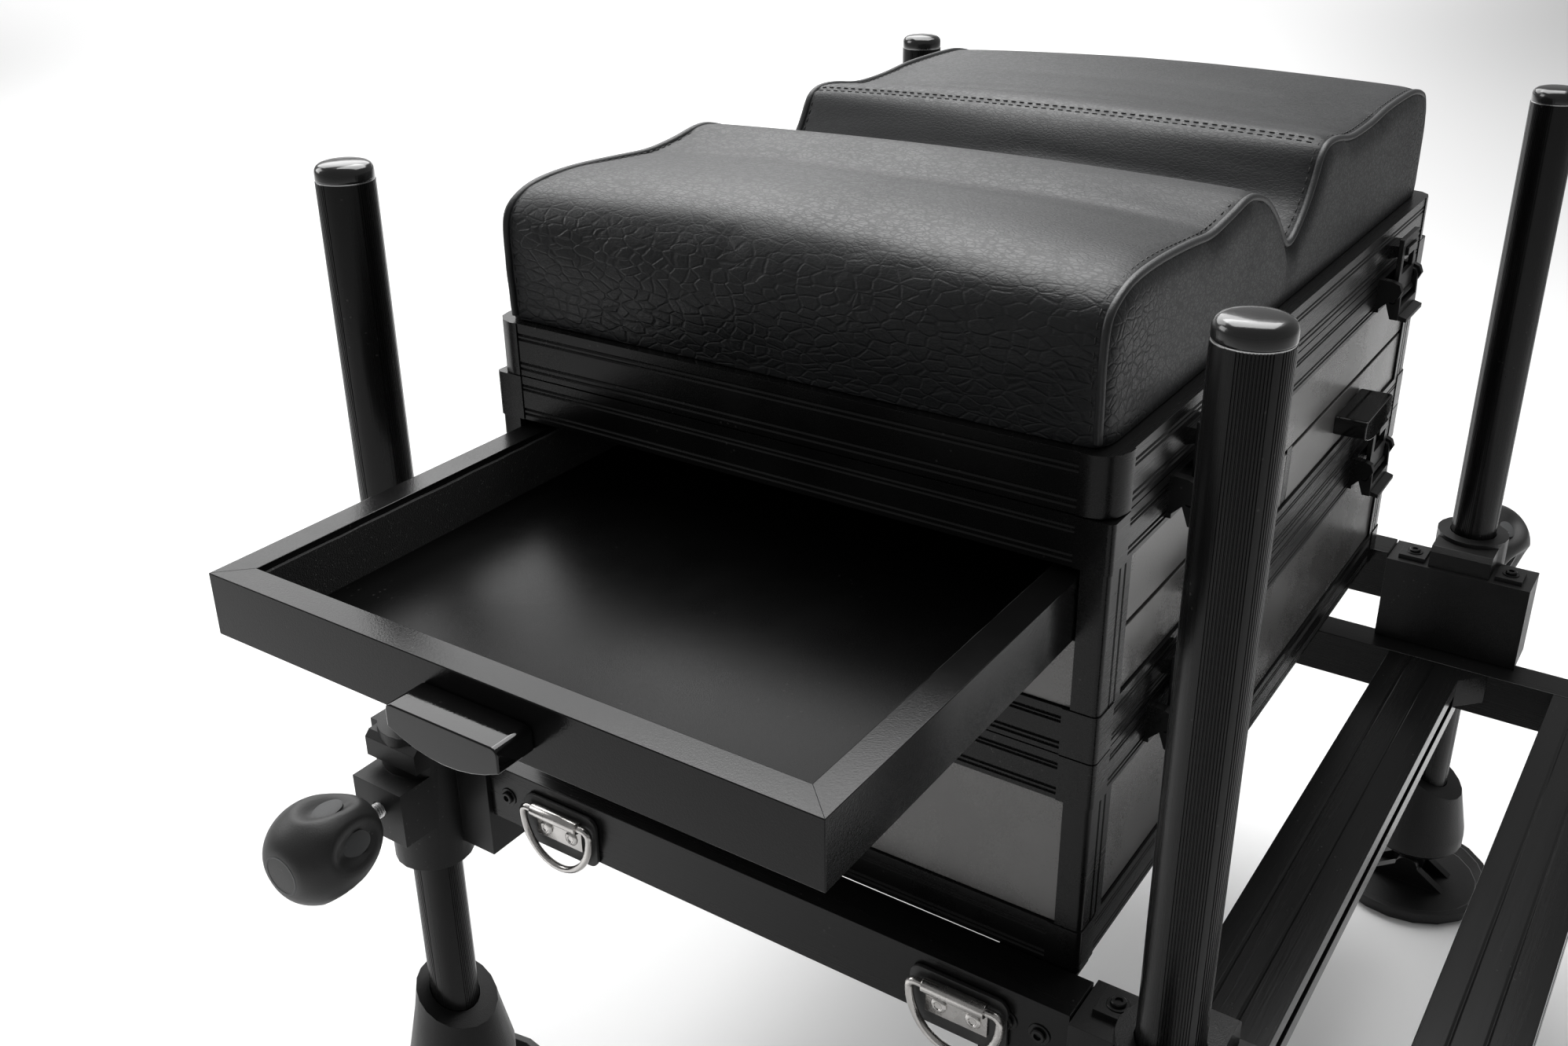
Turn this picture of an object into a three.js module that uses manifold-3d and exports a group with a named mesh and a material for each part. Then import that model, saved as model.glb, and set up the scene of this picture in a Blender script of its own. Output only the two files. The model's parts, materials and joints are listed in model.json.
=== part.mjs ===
// Fishing seat box on four telescopic legs, with drawers, a cushion and a sliding footplate frame.
// Millimetres, +Z up. The angler faces -Y. The box itself is centred on x = 0 and y = 0 with its bottom at
// z = 0, and at the end the whole object is moved so that it stands on z = 0, centred on its outline.

import * as THREE from "three";
import { mergeVertices } from "three/addons/utils/BufferGeometryUtils.js";
import Module from "manifold-3d";

const wasm = await Module();
wasm.setup();

// Fits shared by all pieces
const gap = 0.3;
const overrun = 2;
const sink = 0.5;

// Box modules
const boxWidth = 430;
const boxDepth = 288;
const moduleHeight = 98.3;
const moduleGap = 0.6;
const bandHeight = 20;
const bandWall = 4;
const lipWidth = 8;
const lipHeight = 2;
const grooveWidth = 1.8;
const grooveDepth = 0.8;
const bandGrooveWidth = 1.3;
const bandGrooveDepth = 0.6;
const bandGrooveShares = [0.13, 0.24, 0.7, 0.79];
const castingLength = 14;
const castingProud = 0.5;
const moduleCornerRadius = 2.5;
const seatCornerRadius = 11;
const postFrontWidth = 20;
const postSideWidth = 11;
const postGrooveShares = [0.28, 0.52];
const panelThickness = 2;
const panelRecess = 1.2;
const floorThickness = 2;

// Drawer module
const lowerDrawerSpace = 29;
const shelfThickness = 1.6;
const dividerWidth = 7;
const sideDrawerShort = 30;
const sideDrawerHeight = 25.3;
const sideDrawerClearance = 0.7;
const sideDrawerBar = 12;
const sideDrawerOut = 164;
const trayFloor = 1.8;
const frontDrawerShort = 26;
const frontDrawerFace = 3;
const frontDrawerWall = 2;
const frontDrawerTrayDrop = 3;

// Drawer pulls
const pullWidth = 49;
const pullReach = 16;
const pullHeight = 15;
const pullBelly = 6;
const pullWall = 3;
const pullCorner = 2.5;
const sidePullDrop = 8.5;
const frontPullDrop = 9;
const frontPullInset = 116;

// Seat lid and cushion
const seatBandHeight = 23.4;
const boardThickness = 6;
const cushionHeight = 62;
const cushionInset = 3.5;
const cushionCrown = 3;
const cushionSeamInset = 6;
const cushionSeamDepth = 1.4;
const cushionEndPuff = 2.5;
const cushionHeldShare = 0.25;

// Draw latches
const latchInset = 73;
const latchWidth = 44;
const latchBaseThickness = 2;
const latchBaseHeight = 18;
const latchEarThickness = 4;
const latchEarRadius = 5;
const latchPivotReach = 7;
const latchPivotDrop = 6;
const latchPinRadius = 1.5;
const cheekThickness = 2.4;
const cheekRadius = 3.6;
const loopPivotDrop = 6;
const loopThickness = 2.4;
const loopBarRadius = 2.5;
const loopTop = 19;
const loopBarHeight = 5;
const loopSideBar = 5;
const keeperHeight = 7.5;
const keeperReach = 9.5;
const keeperClearance = 1.5;
const handleDrop = 16;
const handleHeight = 6.5;
const handleThickness = 4;
const tabReach = 8;
const tabHeight = 2.2;

// Back hinges of the drawer module and of the seat lid
const hingeInset = 85;
const hingeWidth = 44;
const hingeReach = 4.8;
const hingeBarrelRadius = 4;
const hingePinRadius = 1.5;
const hingeLeafHeight = 16;
const hingeLeafThickness = 2.2;

// Side rails and their brackets
const railSlit = 2;
const railWidth = 22;
const railHeight = 30.5;
const railRise = 1.7;
const railWall = 2;
const bracketLength = 34;
const bracketReach = 12;
const bracketThickness = 2;

// Legs and their feet
const legRadius = 12.5;
const legWall = 2;
const legStandOut = 29;
const legStandAlong = 48.5;
const leftLegTop = 290;
const rightLegTop = 278;
const capHeight = 8;
const capCrown = 1.6;
const capSeam = 0.7;
const fluteDepth = 0.55;
const fluteBands = 4;
const flutesInBand = 5;
const fluteBandShare = 0.62;
const floorDrop = 242;
const discRadius = 50;
const discThickness = 4;
const discRim = 5;
const discRimWidth = 4;
const footPivotRise = 16;
const footPinRadius = 2.5;
const tongueThickness = 12;
const tongueRadius = 9;
const footEarThickness = 6;
const footEarRadius = 7;
const socketRise = 12;
const socketTopRadius = 16.5;
const socketHeight = 86;
const socketFlareRadius = 28.5;
const socketMouthSlant = 28;
const legSeatDepth = 36;

// Leg blocks
const sleeveRadius = 20;
const sleeveTop = 16;
const sleeveBottom = 62;
const blockLength = 80;
const blockInner = 31;
const blockOuter = 2.5;
const blockBottom = 52;
const housingWidth = 34;
const housingInner = 29;
const housingTop = 13;
const housingChamfer = 3;
const clampReach = 31;
const clampWidth = 33;
const clampTop = 6;
const clampHeight = 30;
const lugAlong = 27;
const lugWidth = 15;
const lugRise = 3;
const lugInner = 27;
const gussetWidth = 14;
const saddleLength = 44;
const saddleWall = 4;
const saddleLip = 14;

// Clamp knobs
const knobDrop = 20;
const knobStandOff = 8;
const knobLength = 51;
const knobRadius = 25;
const studRadius = 4;
const studDepth = 12;
const knobScoops = 5;
const scoopLength = 27;
const scoopWidth = 19;
const scoopDepth = 4.5;
const scoopPlaceShare = 0.45;

// Strap rings on the left rail
const ringInset = 38.5;
const ringWidth = 41;
const ringDrop = 28;
const ringWire = 1.8;
const ringHingeDrop = 9;
const ringPlateWidth = 28;
const ringPlateDrop = 15;
const ringPlateThickness = 1.5;
const ringCurlWall = 1.3;
const ringPadWidth = 44;
const ringPadHeight = 27;
const ringPadThickness = 1.6;
const ringPadCorner = 5;
const rivetRadius = 3.8;
const rivetHeight = 1.2;
const rivetOffset = 8;

// Footplate frame
const slideWidth = 22;
const slideHeight = 27;
const slideStandOut = 5;
const slideReach = 158;
const slideBehind = 39;
const slideWall = 2.5;
const crossDepth = 42;
const crossHeight = 28;
const crossWall = 3;
const nearCrossReach = 42.5;
const farCrossReach = 133.5;
const crossGrooveShares = [0.3, 0.62];
const crossSlotHeight = 8;
const crossSlotDepth = 6;
const cornerBracket = 14;
const cornerBracketHeight = 18;
const endCapThickness = 2.5;

// Facets of round pieces
const fineSides = 20;
const coarseSides = 12;
const pinSides = 8;
const cornerSteps = 3;
const arcSteps = 8;

// Levels and half sizes that several pieces share
const halfWidth = boxWidth / 2;
const halfDepth = boxDepth / 2;
const sideDrawerLength = boxWidth - sideDrawerShort;
const frontDrawerDepth = boxDepth - frontDrawerShort;
const frontPullOffset = halfWidth - frontPullInset;
const latchOffset = halfWidth - latchInset;
const hingeOffset = halfWidth - hingeInset;
const ringAlong = halfDepth - ringInset;
const legSide = halfWidth + legStandOut;
const legAlong = halfDepth + legStandAlong;
const slideOuter = halfWidth + slideStandOut;
const slideFront = halfDepth + slideReach;
const slideBack = slideBehind - halfDepth;
const nearCross = halfDepth + nearCrossReach;
const farCross = halfDepth + farCrossReach;
const drawerModuleBottom = moduleHeight + moduleGap;
const drawerModuleTop = drawerModuleBottom + moduleHeight;
const seatBottom = drawerModuleTop + moduleGap;
const seatTop = seatBottom + seatBandHeight;
const stackParting = moduleHeight + moduleGap / 2;
const seatParting = drawerModuleTop + moduleGap / 2;
const panelLow = drawerModuleBottom + bandHeight;
const panelHigh = drawerModuleTop - bandHeight;
const shelfTop = panelLow + lowerDrawerSpace;
const shelfBottom = shelfTop - shelfThickness;
const carcassFloorTop = panelLow + gap + shelfThickness;
const innerHalfWidth = halfWidth - bandWall - gap;
const innerHalfDepth = halfDepth - bandWall - gap;
const sideDrawerHalf = halfDepth - postSideWidth - sideDrawerClearance;
const sideDrawerBottom = shelfTop + gap;
const railInner = halfWidth + railSlit;
const railOuter = railInner + railWidth;
const railBottom = railRise - railHeight;
const slideTop = -blockBottom - gap;
const slideBottom = slideTop - slideHeight;
const slideInner = slideOuter - slideWidth;
const footPivot = footPivotRise - floorDrop;
const socketBottom = footPivot + socketRise;
const socketTop = socketBottom + socketHeight;
const legBottom = socketTop - legSeatDepth;
const corners = [[-1, -1], [1, -1], [1, 1], [-1, 1]];

// A closed mesh as a solid that can be joined and cut
function toSolid(geometry) {
  const bare = geometry.clone();
  for (const name of Object.keys(bare.attributes)) {
    if (name !== "position") {
      bare.deleteAttribute(name);
    }
  }
  const merged = mergeVertices(bare);
  const vertProperties = new Float32Array(merged.attributes.position.array);
  const triVerts = new Uint32Array(merged.index.array);
  return new wasm.Manifold(new wasm.Mesh({ numProp: 3, vertProperties, triVerts }));
}

function toGeometry(solid) {
  const mesh = solid.getMesh();
  const geometry = new THREE.BufferGeometry();
  geometry.setAttribute("position", new THREE.BufferAttribute(new Float32Array(mesh.vertProperties), 3));
  geometry.setIndex(new THREE.BufferAttribute(new Uint32Array(mesh.triVerts), 1));
  const faceted = geometry.toNonIndexed();
  faceted.computeVertexNormals();
  return faceted;
}

function join(...solids) {
  return solids.reduce((whole, piece) => whole.add(piece));
}

function cut(solid, ...tools) {
  return tools.reduce((left, tool) => left.subtract(tool), solid);
}

// A range of a given width about a middle
function about(middle, width) {
  return [middle - width / 2, middle + width / 2];
}

// A block between two limits along each axis, which may be given in either order
function block(xs, ys, zs) {
  const limits = [xs, ys, zs].map((pair) => [Math.min(...pair), Math.max(...pair)]);
  const geometry = new THREE.BoxGeometry(...limits.map(([low, high]) => high - low));
  geometry.translate(...limits.map(([low, high]) => (low + high) / 2));
  return toSolid(geometry);
}

// A closed outline, always counter-clockwise
function shapeOf(points) {
  const vectors = points.map(([a, b]) => new THREE.Vector2(a, b));
  return new THREE.Shape(THREE.ShapeUtils.isClockWise(vectors) ? vectors.reverse() : vectors);
}

// The three planes that an outline can be drawn in, each as the turn that carries it there
const turns = {
  x: new THREE.Matrix4().makeBasis(
    new THREE.Vector3(0, 1, 0), new THREE.Vector3(0, 0, 1), new THREE.Vector3(1, 0, 0)),
  y: new THREE.Matrix4().makeBasis(
    new THREE.Vector3(1, 0, 0), new THREE.Vector3(0, 0, 1), new THREE.Vector3(0, -1, 0)),
  z: new THREE.Matrix4(),
};

// An outline drawn across an axis, extruded along it between two places
function extrude(outline, axis, limits, holes = []) {
  const shape = shapeOf(outline);
  shape.holes = holes.map(shapeOf);
  const low = Math.min(...limits);
  const high = Math.max(...limits);
  const geometry = new THREE.ExtrudeGeometry(shape, { depth: high - low, bevelEnabled: false, steps: 1 });
  geometry.applyMatrix4(turns[axis]);
  const shift = { x: [low, 0, 0], y: [0, high, 0], z: [0, 0, low] }[axis];
  geometry.translate(...shift);
  return toSolid(geometry);
}

function rectangle(as, bs) {
  return [[as[0], bs[0]], [as[1], bs[0]], [as[1], bs[1]], [as[0], bs[1]]];
}

function arc(centre, radius, from, to, steps) {
  const points = [];
  for (let step = 0; step <= steps; step += 1) {
    const turn = from + ((to - from) * step) / steps;
    points.push([centre[0] + radius * Math.cos(turn), centre[1] + radius * Math.sin(turn)]);
  }
  return points;
}

// A round bar along an axis through the given place across it
function bar(axis, centre, radius, limits, sides) {
  const outline = arc(centre, radius, 0, 2 * Math.PI, sides).slice(0, sides);
  return extrude(outline, axis, limits);
}

// The radius of a bore whose flats clear a turning pin
function boreFor(radius, sides) {
  return (radius + gap) / Math.cos(Math.PI / sides);
}

// A turned piece about the Z axis, from [radius, height] points that start and end on the axis
function turned(profile, sides) {
  const points = profile.map(([radius, height]) => new THREE.Vector2(radius, height));
  const geometry = new THREE.LatheGeometry(points, sides);
  geometry.applyMatrix4(new THREE.Matrix4().makeRotationX(Math.PI / 2));
  return toSolid(geometry);
}

const finishes = {
  frameBlack: { color: 0x1a1a1c, roughness: 0.42, metalness: 0.75 },
  panelGrey: { color: 0x5f5f5c, roughness: 0.35, metalness: 0.6 },
  drawerBlack: { color: 0x161618, roughness: 0.4, metalness: 0.6 },
  glossBlack: { color: 0x08080a, roughness: 0.08, metalness: 0 },
  plasticBlack: { color: 0x141416, roughness: 0.55, metalness: 0 },
  leatherBlack: { color: 0x1c1d20, roughness: 0.5, metalness: 0 },
  castingBlack: { color: 0x18181a, roughness: 0.5, metalness: 0.4 },
  steel: { color: 0xb8b5ae, roughness: 0.25, metalness: 1 },
};

// A named mesh with a material of its own
function addMesh(parent, name, solid, finish) {
  const mesh = new THREE.Mesh(toGeometry(solid), new THREE.MeshStandardMaterial(finishes[finish]));
  mesh.name = name;
  parent.add(mesh);
  return mesh;
}

// Bands: four grooved extrusions joined by corner castings
function bandSide(axis, side, half, bottom, height) {
  const outline = [[0, bottom]];
  for (const share of bandGrooveShares) {
    const middle = bottom + height * share;
    outline.push([0, middle - bandGrooveWidth / 2], [-bandGrooveDepth, middle]);
    outline.push([0, middle + bandGrooveWidth / 2]);
  }
  outline.push([0, bottom + height], [-bandWall, bottom + height], [-bandWall, bottom]);
  const across = axis === "x" ? halfDepth : halfWidth;
  const placed = outline.map(([out, z]) => [side * (across + out), z]);
  return extrude(placed, axis, [-half, half]);
}

// The L-shaped outline of a corner, with grooves down its front or back flange
function cornerOutline(alongX, alongY, proud, radius, grooves) {
  const outline = [[-alongX, proud]];
  for (const place of grooves) {
    outline.push([place - grooveWidth / 2, proud], [place, proud - grooveDepth]);
    outline.push([place + grooveWidth / 2, proud]);
  }
  const middle = proud - radius;
  outline.push(...arc([middle, middle], radius, Math.PI / 2, 0, cornerSteps));
  outline.push([proud, -alongY], [-bandWall, -alongY], [-bandWall, -bandWall], [-alongX, -bandWall]);
  return outline;
}

function corner([sideX, sideY], outline, zs) {
  const placed = outline.map(([x, y]) => [sideX * (halfWidth + x), sideY * (halfDepth + y)]);
  return extrude(placed, "z", zs);
}

function band(bottom, height, radius) {
  const pieces = [];
  for (const side of [-1, 1]) {
    pieces.push(bandSide("x", side, halfWidth - castingLength + sink, bottom, height));
    pieces.push(bandSide("y", side, halfDepth - castingLength + sink, bottom, height));
  }
  const casting = cornerOutline(castingLength, castingLength, castingProud, radius, []);
  for (const place of corners) {
    pieces.push(corner(place, casting, [bottom, bottom + height]));
  }
  return join(...pieces);
}

// The inward lip of a band, which carries the floor or stiffens the mouth
function lip(bottom) {
  const zs = [bottom, bottom + lipHeight];
  const outerX = halfWidth - bandWall + sink;
  const outerY = halfDepth - bandWall + sink;
  const innerX = halfWidth - bandWall - lipWidth;
  const innerY = halfDepth - bandWall - lipWidth;
  const outer = rectangle([-outerX, outerX], [-outerY, outerY]);
  const inner = rectangle([-innerX, innerX], [-innerY, innerY]);
  return extrude(outer, "z", zs, [inner]);
}

// A module's frame: a lower and an upper band on four grooved posts
function moduleFrame(bottom, lowerLip) {
  const upperBand = bottom + moduleHeight - bandHeight;
  const grooves = postGrooveShares.map((share) => -postFrontWidth + share * postFrontWidth);
  const post = cornerOutline(postFrontWidth, postSideWidth, 0, moduleCornerRadius, grooves);
  const pieces = [lip(lowerLip), lip(upperBand)];
  for (const level of [bottom, upperBand]) {
    pieces.push(band(level, bandHeight, moduleCornerRadius));
  }
  for (const place of corners) {
    pieces.push(corner(place, post, [bottom + bandHeight - sink, upperBand + sink]));
  }
  return join(...pieces);
}

// Panels stand between the posts and the bands, a little behind their faces
function sidePanel(side, zs) {
  const half = halfDepth - postSideWidth - gap;
  const outer = halfWidth - panelRecess;
  return block([side * outer, side * (outer - panelThickness)], [-half, half], [zs[0] + gap, zs[1] - gap]);
}

function endPanel(side, zs) {
  const half = halfWidth - postFrontWidth - gap;
  const outer = halfDepth - panelRecess;
  return block([-half, half], [side * outer, side * (outer - panelThickness)], [zs[0] + gap, zs[1] - gap]);
}

// Latches: the base with its ears and pins on the lower frame, and the keeper on the upper one
function latchFace(reach) {
  return -halfDepth - reach;
}

const latchEarInner = latchWidth / 2 - latchEarThickness;
const cheekOuter = latchEarInner - gap;
const cheekInner = cheekOuter - cheekThickness;
const loopHalf = cheekInner - gap;
const windowHalf = loopHalf - loopSideBar;
const keeperTop = loopTop - loopBarHeight - gap;

function latchBase(x, parting) {
  const pivot = [latchFace(latchPivotReach), parting - latchPivotDrop];
  const bottom = parting - latchBaseHeight;
  const top = parting - moduleGap;
  const plate = block(about(x, latchWidth), [latchFace(-sink), latchFace(latchBaseThickness)], [bottom, top]);
  const ear = [
    [latchFace(0), bottom],
    ...arc(pivot, latchEarRadius, (3 * Math.PI) / 2, Math.PI / 2, arcSteps / 2),
    [latchFace(0), top],
  ];
  const pieces = [plate];
  for (const side of [-1, 1]) {
    const inner = x + side * latchEarInner;
    pieces.push(extrude(ear, "x", [inner, x + side * (latchWidth / 2)]));
    pieces.push(bar("x", pivot, latchPinRadius, [inner + side * sink, x + side * cheekInner], pinSides));
  }
  return join(...pieces);
}

function latchKeeper(x, parting) {
  const half = windowHalf - keeperClearance;
  const top = parting + keeperTop;
  const outline = [
    [latchFace(-sink), top],
    [latchFace(keeperReach), top],
    [latchFace(keeperReach), top - keeperHeight / 2],
    [latchFace(-sink), top - keeperHeight],
  ];
  return extrude(outline, "x", [x - half, x + half]);
}

// The lever: two cheeks on the ears' pins, joined by the handle and its finger tab
function latchLever() {
  const hole = boreFor(latchPinRadius, pinSides);
  const loopPivot = [0, -loopPivotDrop];
  const handleTop = -handleDrop + handleHeight;
  const cheekOutline = [
    ...arc([0, 0], cheekRadius, 0, Math.PI, arcSteps / 2),
    [-handleThickness, handleTop],
    [-handleThickness, -handleDrop],
    [0, -handleDrop],
    [cheekRadius, loopPivot[1]],
  ];
  const pieces = [];
  for (const side of [-1, 1]) {
    const cheek = extrude(cheekOutline, "x", [side * cheekInner, side * cheekOuter]);
    const reach = [side * (cheekInner - overrun), side * (cheekOuter + overrun)];
    const pivotHole = bar("x", [0, 0], hole, reach, pinSides);
    const loopHole = bar("x", loopPivot, hole, reach, pinSides);
    pieces.push(cut(cheek, pivotHole, loopHole));
  }
  const handle = [
    [-handleThickness, handleTop],
    [0, handleTop],
    [0, -handleDrop],
    [-tabReach, -handleDrop - tabHeight / 2],
    [-tabReach, -handleDrop + tabHeight / 2],
    [-handleThickness, -handleDrop + tabHeight],
  ];
  pieces.push(extrude(handle, "x", [-cheekInner - sink, cheekInner + sink]));
  return join(...pieces);
}

// The draw loop: a plate with a window that hooks over the keeper, and a barrel with pins at its foot
function latchLoop() {
  const foot = -latchPivotDrop - loopPivotDrop;
  const plate = rectangle([-loopHalf, loopHalf], [foot, loopTop]);
  const low = keeperTop - keeperHeight - loopPivotDrop;
  const window = rectangle([-windowHalf, windowHalf], [low, loopTop - loopBarHeight]);
  const body = extrude(plate, "y", about(0, loopThickness), [window]);
  const barrel = bar("x", [0, foot], loopBarRadius, [-loopHalf, loopHalf], pinSides);
  const pin = bar("x", [0, foot], latchPinRadius, [-cheekOuter, cheekOuter], pinSides);
  return join(body, barrel, pin);
}

// Hinges: the outer knuckles and the pin on the lower frame, the middle knuckle on the upper one
const hingeCentre = halfDepth + hingeReach;
const leafOuter = halfDepth + hingeLeafThickness;
const knuckle = hingeWidth / 4;

function hingeLeaf(x, parting, side) {
  const near = parting + side * (hingeBarrelRadius + gap);
  const far = parting + side * hingeLeafHeight;
  return block(about(x, hingeWidth), [halfDepth - sink, leafOuter], [near, far]);
}

function hingeWeb(limits, parting, side) {
  const reach = parting + side * (hingeBarrelRadius + gap + sink);
  const inner = hingeCentre - hingeBarrelRadius;
  return block(limits, [inner, leafOuter], [parting, reach]);
}

function lowerHinge(x, parting) {
  const centre = [hingeCentre, parting];
  const pieces = [hingeLeaf(x, parting, -1)];
  for (const side of [-1, 1]) {
    const limits = [x + side * (hingeWidth / 2), x + side * (knuckle + gap)];
    pieces.push(bar("x", centre, hingeBarrelRadius, limits, pinSides), hingeWeb(limits, parting, -1));
  }
  pieces.push(bar("x", centre, hingePinRadius, about(x, hingeWidth - knuckle), pinSides));
  return join(...pieces);
}

function upperHinge(x, parting) {
  const centre = [hingeCentre, parting];
  const limits = [x - knuckle + gap, x + knuckle - gap];
  const solid = join(
    bar("x", centre, hingeBarrelRadius, limits, pinSides),
    hingeWeb(limits, parting, 1),
    hingeLeaf(x, parting, 1),
  );
  return cut(solid, bar("x", centre, boreFor(hingePinRadius, pinSides), about(x, hingeWidth), pinSides));
}

function lowerFittings(parting) {
  const pieces = [];
  for (const side of [-1, 1]) {
    pieces.push(latchBase(side * latchOffset, parting), lowerHinge(side * hingeOffset, parting));
  }
  return pieces;
}

function upperFittings(parting) {
  const pieces = [];
  for (const side of [-1, 1]) {
    pieces.push(latchKeeper(side * latchOffset, parting), upperHinge(side * hingeOffset, parting));
  }
  return pieces;
}

function addLatches(parent, level, parting) {
  for (const [side, word] of [[-1, "left"], [1, "right"]]) {
    const lever = addMesh(parent, `${level}_latch_lever_${word}`, latchLever(), "plasticBlack");
    lever.position.set(side * latchOffset, latchFace(latchPivotReach), parting - latchPivotDrop);
    const loop = addMesh(parent, `${level}_latch_loop_${word}`, latchLoop(), "plasticBlack");
    loop.position.set(side * latchOffset, latchFace(latchPivotReach), parting);
  }
}

// Base module
const model = new THREE.Group();
const seatBox = new THREE.Group();
model.add(seatBox);

function addBaseModule(parent) {
  const frame = join(moduleFrame(0, 0), ...lowerFittings(stackParting));
  const openSpace = [bandHeight, moduleHeight - bandHeight];
  addMesh(parent, "base_frame", frame, "frameBlack");
  addMesh(parent, "base_panel_left", sidePanel(-1, openSpace), "panelGrey");
  addMesh(parent, "base_panel_right", sidePanel(1, openSpace), "panelGrey");
  addMesh(parent, "base_panel_front", endPanel(-1, openSpace), "panelGrey");
  addMesh(parent, "base_panel_back", endPanel(1, openSpace), "panelGrey");
  const floorLow = lipHeight + gap;
  const floor = block(
    [-innerHalfWidth, innerHalfWidth],
    [-innerHalfDepth, innerHalfDepth],
    [floorLow, floorLow + floorThickness],
  );
  addMesh(parent, "base_floor", floor, "frameBlack");
}

// Drawer module: its frame, its fixed panels and the carcass that the drawers run in
function drawerCarcass() {
  const xs = [-innerHalfWidth, innerHalfWidth];
  const ys = [-innerHalfDepth, innerHalfDepth];
  const floor = block(xs, ys, [panelLow + gap, carcassFloorTop]);
  const shelf = block(xs, ys, [shelfBottom, shelfTop]);
  const divider = block(
    about(0, dividerWidth),
    [-halfDepth + panelRecess, innerHalfDepth],
    [panelLow + gap, shelfTop],
  );
  return join(floor, shelf, divider);
}

// The finger pull: arched below, hollow behind its lip; it stands out along -X from the drawer's face
function drawerPull() {
  const half = pullWidth / 2;
  const end = -pullHeight + pullBelly;
  const belly = (inset) => {
    const points = [];
    for (let step = 0; step <= arcSteps; step += 1) {
      const along = (2 * step) / arcSteps - 1;
      points.push([along * (half - inset), end - (pullBelly - inset) * (1 - along * along)]);
    }
    return points;
  };
  const outline = [
    ...belly(0),
    ...arc([half - pullCorner, -pullCorner], pullCorner, 0, Math.PI / 2, cornerSteps),
    ...arc([pullCorner - half, -pullCorner], pullCorner, Math.PI / 2, Math.PI, cornerSteps),
  ];
  const body = extrude(outline, "x", [-pullReach, 0]);
  const inner = half - pullWall;
  const hollow = block(
    [-pullReach + pullWall, overrun],
    [-inner, inner],
    [-pullHeight - overrun, -pullWall],
  );
  return cut(body, hollow);
}

// A drawer for the left opening: a frame of square bars with a thin floor
function sideDrawer() {
  const front = -halfWidth - sideDrawerOut;
  const xs = [front, front + sideDrawerLength];
  const zs = [sideDrawerBottom, sideDrawerBottom + sideDrawerHeight];
  const tray = block(
    [xs[0] + sideDrawerBar, xs[1] - sideDrawerBar],
    [-sideDrawerHalf + sideDrawerBar, sideDrawerHalf - sideDrawerBar],
    [zs[0] + trayFloor, zs[1] + overrun],
  );
  return cut(block(xs, [-sideDrawerHalf, sideDrawerHalf], zs), tray);
}

// One of the two half-width drawers: a face plate and a thin tray behind it
const frontDrawerInner = dividerWidth / 2 + gap;
const frontDrawerOuter = halfWidth - postFrontWidth - gap;

function frontDrawer(side) {
  const faceOuter = -halfDepth + panelRecess;
  const faceInner = faceOuter + frontDrawerFace;
  const xs = [side * frontDrawerInner, side * frontDrawerOuter];
  const face = block(xs, [faceOuter, faceInner], [panelLow + gap, shelfBottom - gap]);
  const trayLow = carcassFloorTop + gap;
  const trayHigh = shelfBottom - frontDrawerTrayDrop;
  const trayBack = faceOuter + frontDrawerDepth;
  const tray = block(xs, [faceInner - sink, trayBack], [trayLow, trayHigh]);
  const hollow = block(
    [side * (frontDrawerInner + frontDrawerWall), side * (frontDrawerOuter - frontDrawerWall)],
    [faceInner, trayBack - frontDrawerWall],
    [trayLow + trayFloor, trayHigh + overrun],
  );
  return join(face, cut(tray, hollow));
}

function addDrawerModule(parent) {
  const frame = join(
    moduleFrame(drawerModuleBottom, panelLow - lipHeight),
    ...upperFittings(stackParting),
    ...lowerFittings(seatParting),
  );
  addMesh(parent, "drawer_frame", frame, "frameBlack");
  addMesh(parent, "drawer_panel_left", sidePanel(-1, [panelLow, shelfTop]), "panelGrey");
  addMesh(parent, "drawer_panel_right", sidePanel(1, [panelLow, panelHigh]), "panelGrey");
  addMesh(parent, "drawer_panel_front", endPanel(-1, [shelfTop, panelHigh]), "panelGrey");
  addMesh(parent, "drawer_panel_back", endPanel(1, [panelLow, panelHigh]), "panelGrey");
  addMesh(parent, "drawer_carcass", drawerCarcass(), "frameBlack");
  addMesh(parent, "side_drawer", sideDrawer(), "drawerBlack");
  const sidePull = addMesh(parent, "side_drawer_pull", drawerPull(), "glossBlack");
  const sideFront = -halfWidth - sideDrawerOut;
  sidePull.position.set(sideFront - gap, 0, sideDrawerBottom + sideDrawerHeight - sidePullDrop);
  for (const [side, word] of [[-1, "left"], [1, "right"]]) {
    addMesh(parent, `front_drawer_${word}`, frontDrawer(side), "panelGrey");
    const pull = addMesh(parent, `front_drawer_pull_${word}`, drawerPull(), "glossBlack");
    pull.rotation.z = Math.PI / 2;
    pull.position.set(side * frontPullOffset, -halfDepth + panelRecess - gap, shelfBottom - frontPullDrop);
  }
  addLatches(parent, "lower", stackParting);
}

// Seat lid: a band with a board in its mouth, and the cushion on it
function addSeat(parent) {
  const board = block(
    [-innerHalfWidth - sink, innerHalfWidth + sink],
    [-innerHalfDepth - sink, innerHalfDepth + sink],
    [seatTop - boardThickness, seatTop],
  );
  const rim = band(seatBottom, seatBandHeight, seatCornerRadius);
  const frame = join(rim, board, ...upperFittings(seatParting));
  addMesh(parent, "seat_frame", frame, "frameBlack");
  addLatches(parent, "upper", seatParting);
}

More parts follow.
